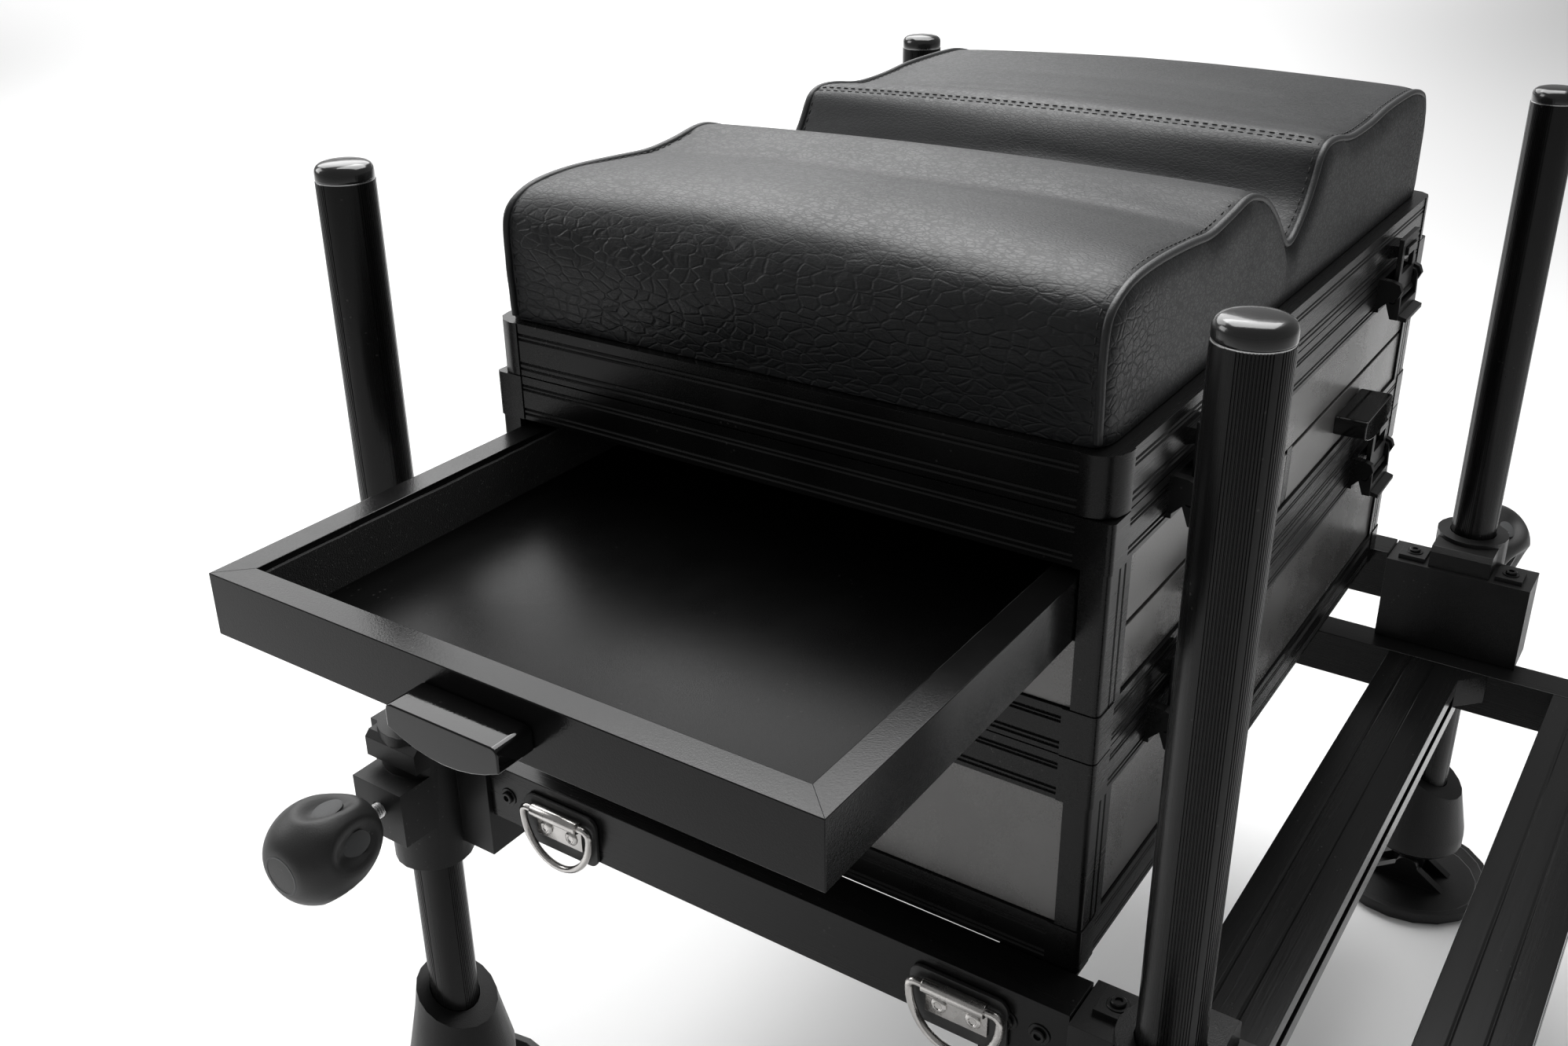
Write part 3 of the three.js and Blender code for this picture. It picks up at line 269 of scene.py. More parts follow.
@dataclass(frozen=True)
class Finish:
    """One procedural finish.

    Attributes:
        name: the material's name.
        slot: the record's material slot; not used.
        dark: the darker tone.
        light: the lighter tone.
        smooth: roughness where the finish is glossiest.
        rough: roughness where it is dullest.
        metallic: how metallic it is.
        patch: slow changes of tone per metre.
        grain: grains per metre.
        depth: depth of the grain in metres.
        stretch: how much the grain is drawn out along its axis.
        along: the axis that drawn lines run along.
        coat: weight of a clear coat.
        dust: how much dust shows.
        sheen: weight of a soft sheen.
        specular: how much it mirrors head on, 0.5 as plain plastic does.
    """

    name: str
    slot: str
    dark: Colour
    light: Colour
    smooth: float
    rough: float
    metallic: float = 0.0
    patch: float = 14.0
    grain: float = 1400.0
    depth: float = 0.00004
    stretch: float = 1.0
    along: Axis = Axis.X
    coat: float = 0.0
    dust: float = 0.25
    sheen: float = 0.0
    specular: float = 0.5

    def build(self) -> bpy.types.Material:
        """Build the material.

        Returns:
            The material with its nodes.
        """
        material = bpy.data.materials.new(f"{self.name}_finish")
        material.use_nodes = True
        graph = Graph(material.node_tree)
        shader = material.node_tree.nodes["Principled BSDF"]
        place = graph.add("ShaderNodeTexCoord").outputs["Object"]
        scale = [1.0, 1.0, 1.0]
        scale[self.along.value] = 1.0 / self.stretch
        drawn = graph.add("ShaderNodeMapping", {"Vector": place, "Scale": scale}).outputs[0]
        surface = SURFACE.place(graph, {
            "Vector": drawn, "Patch": self.patch, "Dark": (*self.dark, 1.0), "Light": (*self.light, 1.0),
            "Smooth": self.smooth, "Rough": self.rough, "Grain": self.grain})
        mask = DUST.place(graph, {"Vector": place, "Amount": self.dust}).outputs["Mask"]
        colour = self.colour(graph, place, surface.outputs["Color"])
        dusty = graph.blend(mask, colour, (0.16, 0.155, 0.15, 1.0))
        link = material.node_tree.links.new
        link(dusty, shader.inputs["Base Color"])
        link(self.gloss(graph, place, surface.outputs["Roughness"]), shader.inputs["Roughness"])
        height = self.height(graph, place, surface.outputs["Height"])
        bump = graph.add("ShaderNodeBump", {"Height": height, "Strength": 1.0, "Distance": self.depth})
        link(bump.outputs["Normal"], shader.inputs["Normal"])
        shader.inputs["Metallic"].default_value = self.metallic
        shader.inputs["Coat Weight"].default_value = self.coat
        shader.inputs["Coat Roughness"].default_value = 0.04
        shader.inputs["Sheen Weight"].default_value = self.sheen
        shader.inputs["Sheen Roughness"].default_value = 0.4
        shader.inputs["Specular IOR Level"].default_value = self.specular
        return material

    def colour(self, graph: Graph, place: bpy.types.NodeSocket, base: bpy.types.NodeSocket) -> bpy.types.NodeSocket:
        """Return the colour; a plain finish keeps the surface's own."""
        return base

    def gloss(self, graph: Graph, place: bpy.types.NodeSocket, base: bpy.types.NodeSocket) -> bpy.types.NodeSocket:
        """Return the roughness; a plain finish keeps the surface's own."""
        return base

    def height(self, graph: Graph, place: bpy.types.NodeSocket, base: bpy.types.NodeSocket) -> bpy.types.NodeSocket:
        """Return the height for the bump; a plain finish keeps the surface's own."""
        return base


@dataclass(frozen=True)
class LeatherFinish(Finish):
    """Pressed leather cloth: coarse pebbles on the flanks, a fine grain where it is pulled tight on top.

    Attributes:
        pebble: pebbles per metre.
        drawn: how much the pebbles are drawn out along each axis.
        flank: the height below which the grain is coarse.
        tight: the height above which it is fine.
        middle: where the cushion's middle lies along X.
        inner: how far from there the grain is still fine.
        outer: how far from there it is coarse.
    """

    pebble: float = 210.0
    drawn: Point = (1.0, 0.62, 1.15)
    flank: float = 0.503
    tight: float = 0.524
    middle: float = 0.03065
    inner: float = 0.150
    outer: float = 0.196

    def leather(self, graph: Graph, place: bpy.types.NodeSocket) -> bpy.types.Node:
        """Place the leather group and return its node."""
        apart = graph.add("ShaderNodeSeparateXYZ", {"Vector": place})
        place = graph.add("ShaderNodeMapping", {"Vector": place, "Scale": self.drawn}).outputs[0]
        low = graph.ramp(graph.math("MULTIPLY", apart.outputs["Z"], -1.0), -self.tight, -self.flank)
        aside = graph.math("ABSOLUTE", graph.math("SUBTRACT", apart.outputs["X"], self.middle))
        coarse = graph.math("MULTIPLY", low, graph.ramp(aside, self.inner, self.outer))
        return LEATHER.place(graph, {"Vector": place, "Pebble": self.pebble, "Fine": 0.16, "Coarse": coarse})

    def colour(self, graph: Graph, place: bpy.types.NodeSocket, base: bpy.types.NodeSocket) -> bpy.types.NodeSocket:
        """Paint shade into the creases: darken the colour towards near black where the grain's creases lie."""
        crease = self.leather(graph, place).outputs["Crease"]
        # painted shade: the creases' colour is blended towards near black, standing in for the shade that falls in
        # them
        return graph.blend(graph.math("MULTIPLY", crease, 0.25), base, (0.003, 0.003, 0.004, 1.0))

    def gloss(self, graph: Graph, place: bpy.types.NodeSocket, base: bpy.types.NodeSocket) -> bpy.types.NodeSocket:
        """Make the creases duller than the pebbles."""
        crease = self.leather(graph, place).outputs["Crease"]
        return graph.math("ADD", base, graph.math("MULTIPLY", crease, 0.12))

    def height(self, graph: Graph, place: bpy.types.NodeSocket, base: bpy.types.NodeSocket) -> bpy.types.NodeSocket:
        """Add the pebbles to the fine grain."""
        pebbles = self.leather(graph, place).outputs["Height"]
        return graph.math("ADD", pebbles, graph.math("MULTIPLY", base, 0.12))


@dataclass(frozen=True)
class FeltFinish(Finish):
    """Felt with light fibres caught in it."""

    def colour(self, graph: Graph, place: bpy.types.NodeSocket, base: bpy.types.NodeSocket) -> bpy.types.NodeSocket:
        """Scatter light fibre ends over the felt."""
        fibres = graph.add("ShaderNodeTexVoronoi", {"Vector": place, "Scale": 900.0}, feature="F1")
        ends = graph.ramp(fibres.outputs["Distance"], 0.28, 0.1)
        rare = graph.add("ShaderNodeTexNoise", {"Vector": place, "Scale": 420.0, "Detail": 1.0})
        share = graph.math("MULTIPLY", ends, graph.ramp(rare.outputs["Fac"], 0.5, 0.62))
        return graph.blend(share, base, (0.13, 0.13, 0.125, 1.0))


class Look(Enum):
    """Every finish on the object."""

    FRAME_X = Finish(
        "frame_black_x", "frame_black", grey(0.006), grey(0.010), 0.22, 0.32, 0.2, stretch=60, specular=0.3)
    FRAME_Y = Finish(
        "frame_black_y", "frame_black", grey(0.006), grey(0.010), 0.22, 0.32, 0.2, stretch=60, along=Axis.Y,
        specular=0.3)
    FRAME_Z = Finish(
        "frame_black_z", "frame_black", grey(0.005), grey(0.008), 0.22, 0.32, 0.1, stretch=60, along=Axis.Z,
        specular=0.3)
    PANEL = Finish("panel_grey", "panel_grey", grey(0.14, 0.02), grey(0.17, 0.02), 0.24, 0.33, 0.35, dust=0.12)
    DRAWER = Finish(
        "drawer_black", "drawer_black", grey(0.006), grey(0.010), 0.16, 0.24, 0.1, dust=0.2, specular=0.24)
    DRAWER_FLOOR = Finish(
        "drawer_floor", "drawer_black", grey(0.003), grey(0.004), 0.26, 0.32, 0.0, grain=2600, dust=0.12,
        specular=0.1)
    FELT = FeltFinish(
        "drawer_felt", "drawer_black", grey(0.006), grey(0.012), 0.9, 1.0, grain=1800, depth=0.0004, sheen=0.2)
    PULL = Finish(
        "pull_gloss", "pull_gloss", grey(0.004), grey(0.006), 0.04, 0.09, coat=0.15, depth=0.00001, dust=0.1,
        specular=0.35)
    PLASTIC = Finish(
        "latch_plastic", "plastic_black", grey(0.006), grey(0.010), 0.34, 0.44, depth=0.00006, specular=0.3)
    CASTING = Finish(
        "casting_black", "casting_black", grey(0.007), grey(0.012), 0.36, 0.46, depth=0.0001, specular=0.3)
    CAP = Finish("cap_gloss", "plastic_black", grey(0.008), grey(0.012), 0.14, 0.22, coat=0.4, depth=0.00002)
    RUBBER = Finish("knob_rubber", "knob_rubber", grey(0.018), grey(0.028), 0.42, 0.52, depth=0.00008)
    INSERT = Finish("knob_insert", "knob_rubber", grey(0.060, -0.02), grey(0.075, -0.02), 0.5, 0.6, depth=0.00008)
    FOOT = Finish("foot_plastic", "plastic_black", grey(0.006), grey(0.010), 0.36, 0.46, depth=0.0001, specular=0.3)
    STEEL = Finish("ring_steel", "ring_steel", grey(0.52, 0.03), grey(0.66, 0.03), 0.16, 0.3, 1.0, patch=60)
    ALLOY = Finish("bright_alloy", "ring_steel", grey(0.62), grey(0.72), 0.2, 0.3, 1.0)
    SCREW = Finish("screw_black", "frame_black", grey(0.02), grey(0.035), 0.24, 0.34, 0.8)
    LEATHER = LeatherFinish(
        "cushion_leather", "cushion_leather", grey(0.014, -0.05), grey(0.019, -0.05), 0.36, 0.44, patch=9,
        grain=1600, depth=0.0002, dust=0.05, specular=0.34)
    PIPING = Finish(
        "cushion_piping", "cushion_leather", grey(0.017, -0.04), grey(0.024, -0.04), 0.4, 0.5, grain=900,
        depth=0.00012, dust=0.0)
    THREAD = Finish(
        "cushion_thread", "cushion_leather", grey(0.010), grey(0.018), 0.5, 0.65, grain=5000, depth=0.00005, dust=0.0)

    @property
    def material(self) -> bpy.types.Material:
        """The material of this finish, built the first time that it is asked for."""
        return bpy.data.materials.get(f"{self.value.name}_finish") or self.value.build()


# Ways of working that several pieces share


def alone(piece: bpy.types.Object) -> None:
    """Select one object and nothing else, and make it the active one."""
    bpy.ops.object.select_all(action="DESELECT")
    piece.select_set(True)
    bpy.context.view_layer.objects.active = piece


@contextmanager
def editing(piece: bpy.types.Object, mode: str = "VERT",
            chosen: Callable[[Vector, Vector], bool] | None = None) -> Iterator[None]:
    """Work in edit mode on one piece, with all of it or some of its faces selected.

    Args:
        piece: the piece.
        mode: what is selected by: VERT, EDGE or FACE.
        chosen: given the centre and the normal of a face, whether it is selected; all are without it.
    """
    alone(piece)
    bpy.ops.object.mode_set(mode="EDIT")
    bpy.ops.mesh.select_mode(type="FACE" if chosen else mode)
    bpy.ops.mesh.select_all(action="DESELECT" if chosen else "SELECT")
    if chosen:
        bpy.ops.object.mode_set(mode="OBJECT")
        for face in piece.data.polygons:
            face.select = chosen(face.center, face.normal)
        bpy.ops.object.mode_set(mode="EDIT")
    yield
    bpy.ops.object.mode_set(mode="OBJECT")


def face_outwards() -> None:
    """Turn every face of the mesh that is being edited outwards."""
    bpy.ops.mesh.select_all(action="SELECT")
    bpy.ops.mesh.normals_make_consistent(inside=False)


def apply_modifier(piece: bpy.types.Object, kind: str, **settings: object) -> None:
    """Add a modifier with these settings and apply it."""
    alone(piece)
    modifier = piece.modifiers.new(kind.lower(), kind)
    for name, value in settings.items():
        setattr(modifier, name, value)
    bpy.ops.object.modifier_apply(modifier=modifier.name)


def rounded(piece: bpy.types.Object, width: float, segments: int = 2, angle: float = 30.0) -> bpy.types.Object:
    """Round the edges of a piece that are sharper than an angle in degrees, and return it."""
    apply_modifier(
        piece, "BEVEL", width=width, segments=segments, limit_method="ANGLE", angle_limit=math.radians(angle))
    return piece


def place(piece: bpy.types.Object, turn: Matrix | None = None, at: Sequence[float] = (0, 0, 0)) -> bpy.types.Object:
    """Turn and move a piece, and keep its object at the origin.

    Args:
        piece: the piece.
        turn: how it is turned about the origin.
        at: where the origin goes.

    Returns:
        The piece.
    """
    matrix = Matrix.Translation(Vector(at)) @ (turn.to_4x4() if turn else Matrix.Identity(4))
    piece.matrix_world = matrix @ piece.matrix_world
    alone(piece)
    bpy.ops.object.transform_apply(location=True, rotation=True, scale=True)
    return piece


def copied(piece: bpy.types.Object, name: str) -> bpy.types.Object:
    """Return a copy of a piece with a mesh of its own."""
    twin = piece.copy()
    twin.data = piece.data.copy()
    twin.name = name
    bpy.context.scene.collection.objects.link(twin)
    return twin


def joined(name: str, *parts: bpy.types.Object) -> bpy.types.Object:
    """Join parts into the first of them, and return it under a new name."""
    alone(parts[0])
    for part in parts:
        part.select_set(True)
    bpy.ops.object.join()
    parts[0].name = name
    return parts[0]


def dressed(piece: bpy.types.Object, look: Look, angle: float = 32.0) -> bpy.types.Object:
    """Give a whole piece one finish, smooth its faces up to an angle in degrees, and return it."""
    piece.data.materials.clear()
    piece.data.materials.append(look.material)
    alone(piece)
    bpy.ops.object.shade_smooth_by_angle(angle=math.radians(angle))
    return piece


def hand_over(piece: bpy.types.Object, body: str, look: Look, *replaced: str) -> bpy.types.Object:
    """Let a finished piece ride on its body and hide the CAD nodes that it stands for.

    Args:
        piece: the finished piece.
        body: the CAD body that it moves with.
        look: not used.
        replaced: the CAD nodes that it stands for.

    Returns:
        The piece.
    """
    piece.data.name = piece.name
    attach(piece, body)
    if replaced:
        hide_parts(*replaced)
    log.info("%s: %d faces on %s", piece.name, len(piece.data.polygons), body)
    return piece


def body_of(node: str) -> str:
    """Return the body that a CAD node moves with."""
    return frame["nodes"][node]["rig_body"]


def middle(node: str) -> Vector:
    """Return the centre of a CAD node's box."""
    low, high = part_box(node)
    return (low + high) / 2


def primitive(name: str) -> bpy.types.Object:
    """Name the primitive that was just added, and return it."""
    piece = bpy.context.object
    piece.name = name
    return piece


def turned(name: str, profile: Sequence[tuple[float, float]], sides: int) -> bpy.types.Object:
    """Model a turned piece about Z: a disc, extruded and scaled from step to step.

    Args:
        name: the piece's name.
        profile: radius and height of each step, all in metres, from the bottom to the top.
        sides: sides of the disc.

    Returns:
        The piece, closed, with flat ends.
    """
    radius, height = profile[0]
    bpy.ops.mesh.primitive_circle_add(vertices=sides, radius=radius, fill_type="NGON", location=(0, 0, height))
    piece = primitive(name)
    with editing(piece, "FACE"):
        for wider, higher in profile[1:]:
            bpy.ops.mesh.extrude_region_move(TRANSFORM_OT_translate={"value": (0, 0, higher - height)})
            share = wider / radius
            bpy.ops.transform.resize(value=(share, share, 1), center_override=(0, 0, higher))
            radius, height = wider, higher
        face_outwards()
    return place(piece)


def outlined(name: str, outline: Sequence[tuple[float, float]], length: float) -> bpy.types.Object:
    """Model a prism: a disc whose corners are moved to an outline in the XY plane, extruded along Z.

    Args:
        name: the piece's name.
        outline: the corners of the outline.
        length: how far it is extruded.

    Returns:
        The piece, from z = 0 to its length.
    """
    bpy.ops.mesh.primitive_circle_add(vertices=len(outline), radius=1, fill_type="NGON")
    piece = primitive(name)
    for vertex, (x, y) in zip(piece.data.vertices, outline):
        vertex.co = (x, y, 0)
    with editing(piece, "FACE"):
        bpy.ops.mesh.extrude_region_move(TRANSFORM_OT_translate={"value": (0, 0, length)})
        face_outwards()
    return place(piece)


def slab(name: str, low: Sequence[float], high: Sequence[float]) -> bpy.types.Object:
    """Return a block between two corners, as a start for other work."""
    size = [b - a for a, b in zip(low, high)]
    centre = [(a + b) / 2 for a, b in zip(low, high)]
    bpy.ops.mesh.primitive_cube_add(size=1, location=centre, scale=size)
    return place(primitive(name))


def wire(name: str, path: Sequence[Sequence[float]], radius: float, closed: bool = False,
         around: int = 3) -> bpy.types.Object:
    """Model a round wire or tube that follows a path.

    Args:
        name: the piece's name.
        path: the points that it follows.
        radius: its radius.
        closed: whether it closes on itself.
        around: how finely it is rounded.

    Returns:
        The piece, as a mesh with closed ends.
    """
    curve = bpy.data.curves.new(name, "CURVE")
    curve.dimensions = "3D"
    curve.bevel_depth = radius
    curve.bevel_resolution = around
    curve.use_fill_caps = not closed
    spline = curve.splines.new("POLY")
    spline.points.add(len(path) - 1)
    for point, where in zip(spline.points, path):
        point.co = (*where, 1)
    spline.use_cyclic_u = closed
    piece = bpy.data.objects.new(name, curve)
    bpy.context.scene.collection.objects.link(piece)
    alone(piece)
    bpy.ops.object.convert(target="MESH")
    with editing(piece):
        bpy.ops.mesh.remove_doubles(threshold=0.00001)
        bpy.ops.mesh.normals_make_consistent(inside=False)
    return piece


def spline_through(knots: Sequence[tuple[float, float]], count: int) -> list[tuple[float, float]]:
    """Draw a smooth line through knots, as evenly spaced points.

    Args:
        knots: the points that it passes through.
        count: how many points are wanted.

    Returns:
        The points, the first and the last knot included.
    """
    dense: list[Vector] = []
    rows = [Vector(k) for k in knots]
    for index in range(len(rows) - 1):
        before = rows[max(0, index - 1)]
        after = rows[min(len(rows) - 1, index + 2)]
        start, end = rows[index], rows[index + 1]
        for step in range(24):
            t = step / 24
            dense.append(0.5 * (
                2 * start + (end - before) * t + (2 * before - 5 * start + 4 * end - after) * t * t
                + (3 * start - before - 3 * end + after) * t ** 3))
    dense.append(rows[-1])
    reach = [0.0]
    for one, two in zip(dense, dense[1:]):
        reach.append(reach[-1] + (two - one).length)
    found, index = [], 0
    for step in range(count):
        goal = reach[-1] * step / (count - 1)
        while index < len(reach) - 2 and reach[index + 1] < goal:
            index += 1
        share = (goal - reach[index]) / max(reach[index + 1] - reach[index], 1e-12)
        found.append(tuple(dense[index].lerp(dense[index + 1], share)))
    return found


def bell(distance: float, width: float) -> float:
    """Return 1 at no distance, falling to about a third at the width."""
    return math.exp(-(distance / width) ** 2)


def soft_corners(half_wide: float, half_high: float, radius: float, steps: int = 5) -> list[tuple[float, float]]:
    """Return the outline of a rectangle with round corners, centred on the origin."""
    found: list[tuple[float, float]] = []
    for index, (way_x, way_y) in enumerate(((1, 1), (-1, 1), (-1, -1), (1, -1))):
        for step in range(steps + 1):
            turn = math.pi / 2 * (index + step / steps)
            found.append((way_x * (half_wide - radius) + radius * math.cos(turn),
                          way_y * (half_high - radius) + radius * math.sin(turn)))
    return found


UPRIGHT = Matrix.Identity(3)
DOWN = Vector((0, 0, -1))
ON_EDGE = Matrix(((0, 0, 1), (1, 0, 0), (0, 1, 0)))
TO_LEFT = Matrix.Rotation(-math.pi / 2, 3, "Y")
TO_RIGHT = Matrix.Rotation(math.pi / 2, 3, "Y")
TO_FRONT = Matrix.Rotation(math.pi / 2, 3, "X")


# The metalwork that keeps the shape of its CAD node


@dataclass
class Metalwork:
    """CAD nodes that keep their shape: each gets its finish and finely rounded edges.

    Attributes:
        finishes: the start of the nodes' names, their finish and the width of their rounded edges in metres.
        weld: how near corners have to be to be one.
        flat: the angle in degrees up to which faces are one flat face.
        sharp: the angle in degrees from which an edge is rounded.
    """

    finishes: tuple[tuple[str, Look, float], ...] = (
        ("base_frame", Look.FRAME_X, 0.00028),
        ("drawer_frame", Look.FRAME_X, 0.00028),
        ("seat_frame", Look.FRAME_X, 0.00028),
        ("base_panel", Look.PANEL, 0.0003),
        ("drawer_panel", Look.PANEL, 0.0003),
        ("base_floor", Look.DRAWER_FLOOR, 0.0003),
        ("drawer_carcass", Look.DRAWER, 0.0002),
        ("side_drawer", Look.DRAWER, 0.0004),
        ("front_drawer", Look.PANEL, 0.0004),
        ("side_rail", Look.FRAME_Y, 0.0004),
        ("leg_block", Look.CASTING, 0.0008),
        ("footplate_slide", Look.FRAME_Y, 0.0004),
        ("footplate_rail", Look.FRAME_X, 0.0005),
        ("leg_", Look.FRAME_Z, 0.0003),
        ("clamp_knob", Look.RUBBER, 0.0008),
        ("foot_", Look.FOOT, 0.0006),
        ("lower_latch", Look.PLASTIC, 0.0004),
        ("upper_latch", Look.PLASTIC, 0.0004),
        ("strap_", Look.STEEL, 0.0003),
    )
    weld: float = 0.00002
    flat: float = 0.8
    sharp: float = 34.0

    def build(self, kept: Sequence[str]) -> None:
        """Dress every node in the list.

        Args:
            kept: the names of the nodes that show.
        """
        for name in kept:
            look, width = self.finish(name)
            node = frame["nodes"][name]
            for slot in node.material_slots:
                slot.material = look.material
            self.soften(node, width)
            log.info("%s: %s on %s", name, look.value.name, body_of(name))

    def finish(self, name: str) -> tuple[Look, float]:
        """Return a node's finish and the width of its rounded edges."""
        if "_pull" in name:
            return Look.PULL, 0.0006
        return next((look, width) for start, look, width in self.finishes if name.startswith(start))

    def soften(self, node: bpy.types.Object, width: float) -> None:
        """Round a node's edges with live modifiers, which leave its mesh as it is."""
        node.data.polygons.foreach_set("use_smooth", [True] * len(node.data.polygons))
        steps: list[tuple[str, dict]] = [
            ("WELD", {"merge_threshold": self.weld}),
            ("DECIMATE", {"decimate_type": "DISSOLVE", "angle_limit": math.radians(self.flat)}),
            ("BEVEL", {"width": width, "segments": 2, "limit_method": "ANGLE",
                       "angle_limit": math.radians(self.sharp), "use_clamp_overlap": True}),
            ("WEIGHTED_NORMAL", {"keep_sharp": True, "weight": 60}),
        ]
        for kind, settings in steps:
            modifier = node.modifiers.new(kind.lower(), kind)
            for key, value in settings.items():
                setattr(modifier, key, value)


# The cushion


@dataclass
class Cushion:
    """The lid's cushion: two humps of padded leather cloth with a valley between, and a piped seam near each end.

    Attributes:
        outline: its outline across the humps, as shares of the half width and of the height.
        half_width: half its width.
        height: its height without the crown.
        crown: how much higher it is in the middle than at its ends.
        slack: how much smaller the pad starts than it ends.
        swell: how far the filling may push the cover.
        voxel: size of the pad's faces before they are divided.
        pressure: the filling's pressure.
        ridges: where the sewn ridges of the humps lie, as shares of the half width.
        valley: where the valley lies, as a share of the half width.
        seam_inset: how far the piped seams lie from the ends.
        bead: radius of the piping.
        thread: radius of the sewing thread.
        stitch: length of a stitch.
        pitch: distance from one stitch to the next.
        held_below: height above the board up to which the cover is held fast.
        hold: how far from a ridge or a piped seam its hold reaches.
        valley_hold: how far from the valley its hold reaches.
        foot: height over which the pad's slack grows from nothing at the board.
        frames: how many steps the filling gets.
        ridge_cut: depth and half width of the groove along a ridge.
        valley_pull: how far the valley's ends are drawn in.
        folds: for the large and the small folds of the flanks, waves per metre along each axis, and height.
        margin: how far the cover stays inside the cushion's ends.
    """

    outline: tuple[tuple[float, float], ...] = (
        (-0.993, -0.1), (-0.997, 0.3), (-1.0, 0.68), (-0.985, 0.84), (-0.92, 0.94), (-0.79, 0.975), (-0.6, 0.92),
        (-0.49, 0.925), (-0.37, 1.0), (-0.29, 0.965), (-0.21, 0.83), (-0.12, 0.58), (-0.068, 0.44),
        (-0.035, 0.5), (0.035, 0.66), (0.085, 0.93), (0.12, 1.05), (0.19, 1.03), (0.32, 0.965), (0.5, 0.985),
        (0.74, 1.01), (0.9, 0.985), (0.965, 0.9), (0.996, 0.68), (0.994, 0.3), (0.99, -0.1),
    )
    half_width: float = 0.215
    height: float = 0.062
    crown: float = 0.003
    slack: float = 0.003
    swell: float = 0.0045
    voxel: float = 0.0045
    pressure: float = 4.0
    ridges: tuple[float, ...] = (-0.29, 0.12)
    valley: float = -0.068
    seam_inset: float = 0.0065
    bead: float = 0.0016
    thread: float = 0.00032
    stitch: float = 0.0026
    pitch: float = 0.0042
    held_below: float = 0.006
    hold: float = 0.004
    valley_hold: float = 0.006
    foot: float = 0.02
    frames: int = 20
    ridge_cut: tuple[float, float] = (0.0009, 0.002)
    valley_pull: float = 0.003
    folds: tuple[tuple[float, float, float, float], ...] = ((6, 18, 42, 0.0011), (9, 40, 110, 0.0004))
    margin: float = 0.0004

    def build(self) -> None:
        """Build the pad, its piping and its stitches, and hand them over."""
        low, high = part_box("seat_cushion")
        self.low, self.high = low, high
        self.across = middle("seat_frame").x
        pad = self.pad()
        self.fill(pad)
        self.finish(pad)
        dressed(pad, Look.LEATHER, 60)
        hand_over(pad, body_of("seat_cushion"), Look.LEATHER, "seat_cushion")
        seams = []
        for name, level in (("front", low.y + self.seam_inset), ("back", high.y - self.seam_inset)):
            inward = 1.0 if name == "front" else -1.0
            path = self.over(pad, level)
            piping = wire(f"cushion_piping_{name}", [p + n * self.bead * 0.25 for p, n in path], self.bead)
            hand_over(dressed(piping, Look.PIPING, 60), body_of("seat_cushion"), Look.PIPING)
            inner = self.over(pad, level + inward * self.bead * 1.9)
            seams.append([p + n * self.thread * 0.4 for p, n in inner])
        for share in self.ridges:
            seams.append(self.along(pad, self.across + share * self.half_width + 0.0016))
            seams.append(self.along(pad, self.across + share * self.half_width - 0.0016))
        self.sew(seams)

    def edge(self, count: int) -> list[tuple[float, float]]:
        """Return points on the outline, in metres from the middle and from the bottom."""
        return [(x * self.half_width, z * self.height) for x, z in spline_through(self.outline, count)]

    def pad(self) -> bpy.types.Object:
        """Model the pad a little smaller than the cushion, with an even mesh."""
        narrow = 1 - self.slack / self.half_width
        points = [(x * narrow, z - self.slack * min(1.0, max(0.0, z) / self.foot)) for x, z in self.edge(150)]
        length = self.high.y - self.low.y - 2 * self.slack
        pad = outlined("seat_cushion_pad", points, length)
        place(pad, TO_FRONT, (self.across, self.high.y - self.slack, self.low.z + 0.0002))
        apply_modifier(pad, "REMESH", mode="VOXEL", voxel_size=self.voxel)
        for vertex in pad.data.vertices:
            vertex.co.z += self.crown * self.lift(vertex.co) * self.bow(vertex.co.y)
        apply_modifier(pad, "SMOOTH", factor=0.5, iterations=4)
        return pad

    def bow(self, y: float) -> float:
        """Return 1 in the middle of the cushion's length and 0 at its ends."""
        share = (y - (self.low.y + self.high.y) / 2) / ((self.high.y - self.low.y) / 2)
        return max(0.0, 1 - share * share)

    def lift(self, point: Vector) -> float:
        """Return how free a point is to rise: 0 at the bottom and 1 from half the height."""
        return min(1.0, max(0.0, (point.z - self.low.z) / (self.height * 0.5)))

    def held(self, point: Vector) -> float:
        """Return how firmly a point of the cover is held by the board, by a seam or by the valley."""
        if point.z < self.low.z + self.held_below:
            return 1.0
        share = (point.x - self.across) / self.half_width
        lines = [bell(point.x - self.across - ridge * self.half_width, self.hold) * 0.8 for ridge in self.ridges]
        lines.append(bell((share - self.valley) * self.half_width, self.valley_hold))
        for level in (self.low.y + self.seam_inset, self.high.y - self.seam_inset):
            lines.append(bell(point.y - level, self.hold) * 0.85)
        return max(lines)

    def fill(self, pad: bpy.types.Object) -> None:
        """Let the filling push the cover out, held at its seams, and cap how far it goes."""
        before = [vertex.co.copy() for vertex in pad.data.vertices]
        pins = pad.vertex_groups.new(name="held")
        for vertex in pad.data.vertices:
            pins.add([vertex.index], self.held(vertex.co), "REPLACE")
        cloth = pad.modifiers.new("cloth", "CLOTH")
        settings = cloth.settings
        settings.quality = 4
        settings.use_pressure = True
        settings.uniform_pressure_force = self.pressure
        settings.vertex_group_mass = pins.name
        settings.pin_stiffness = 1.0
        settings.effector_weights.gravity = 0.0
        cloth.point_cache.frame_start = 1
        cloth.point_cache.frame_end = self.frames
        for step in range(1, self.frames + 1):
            bpy.context.scene.frame_set(step)
        alone(pad)
        bpy.ops.object.modifier_apply(modifier=cloth.name)
        bpy.context.scene.frame_set(1)
        for vertex, start in zip(pad.data.vertices, before):
            push = vertex.co - start
            reach = self.swell * (1 - 0.75 * self.held(start))
            if push.length > reach:
                vertex.co = start + push.normalized() * reach
        pad.vertex_groups.clear()

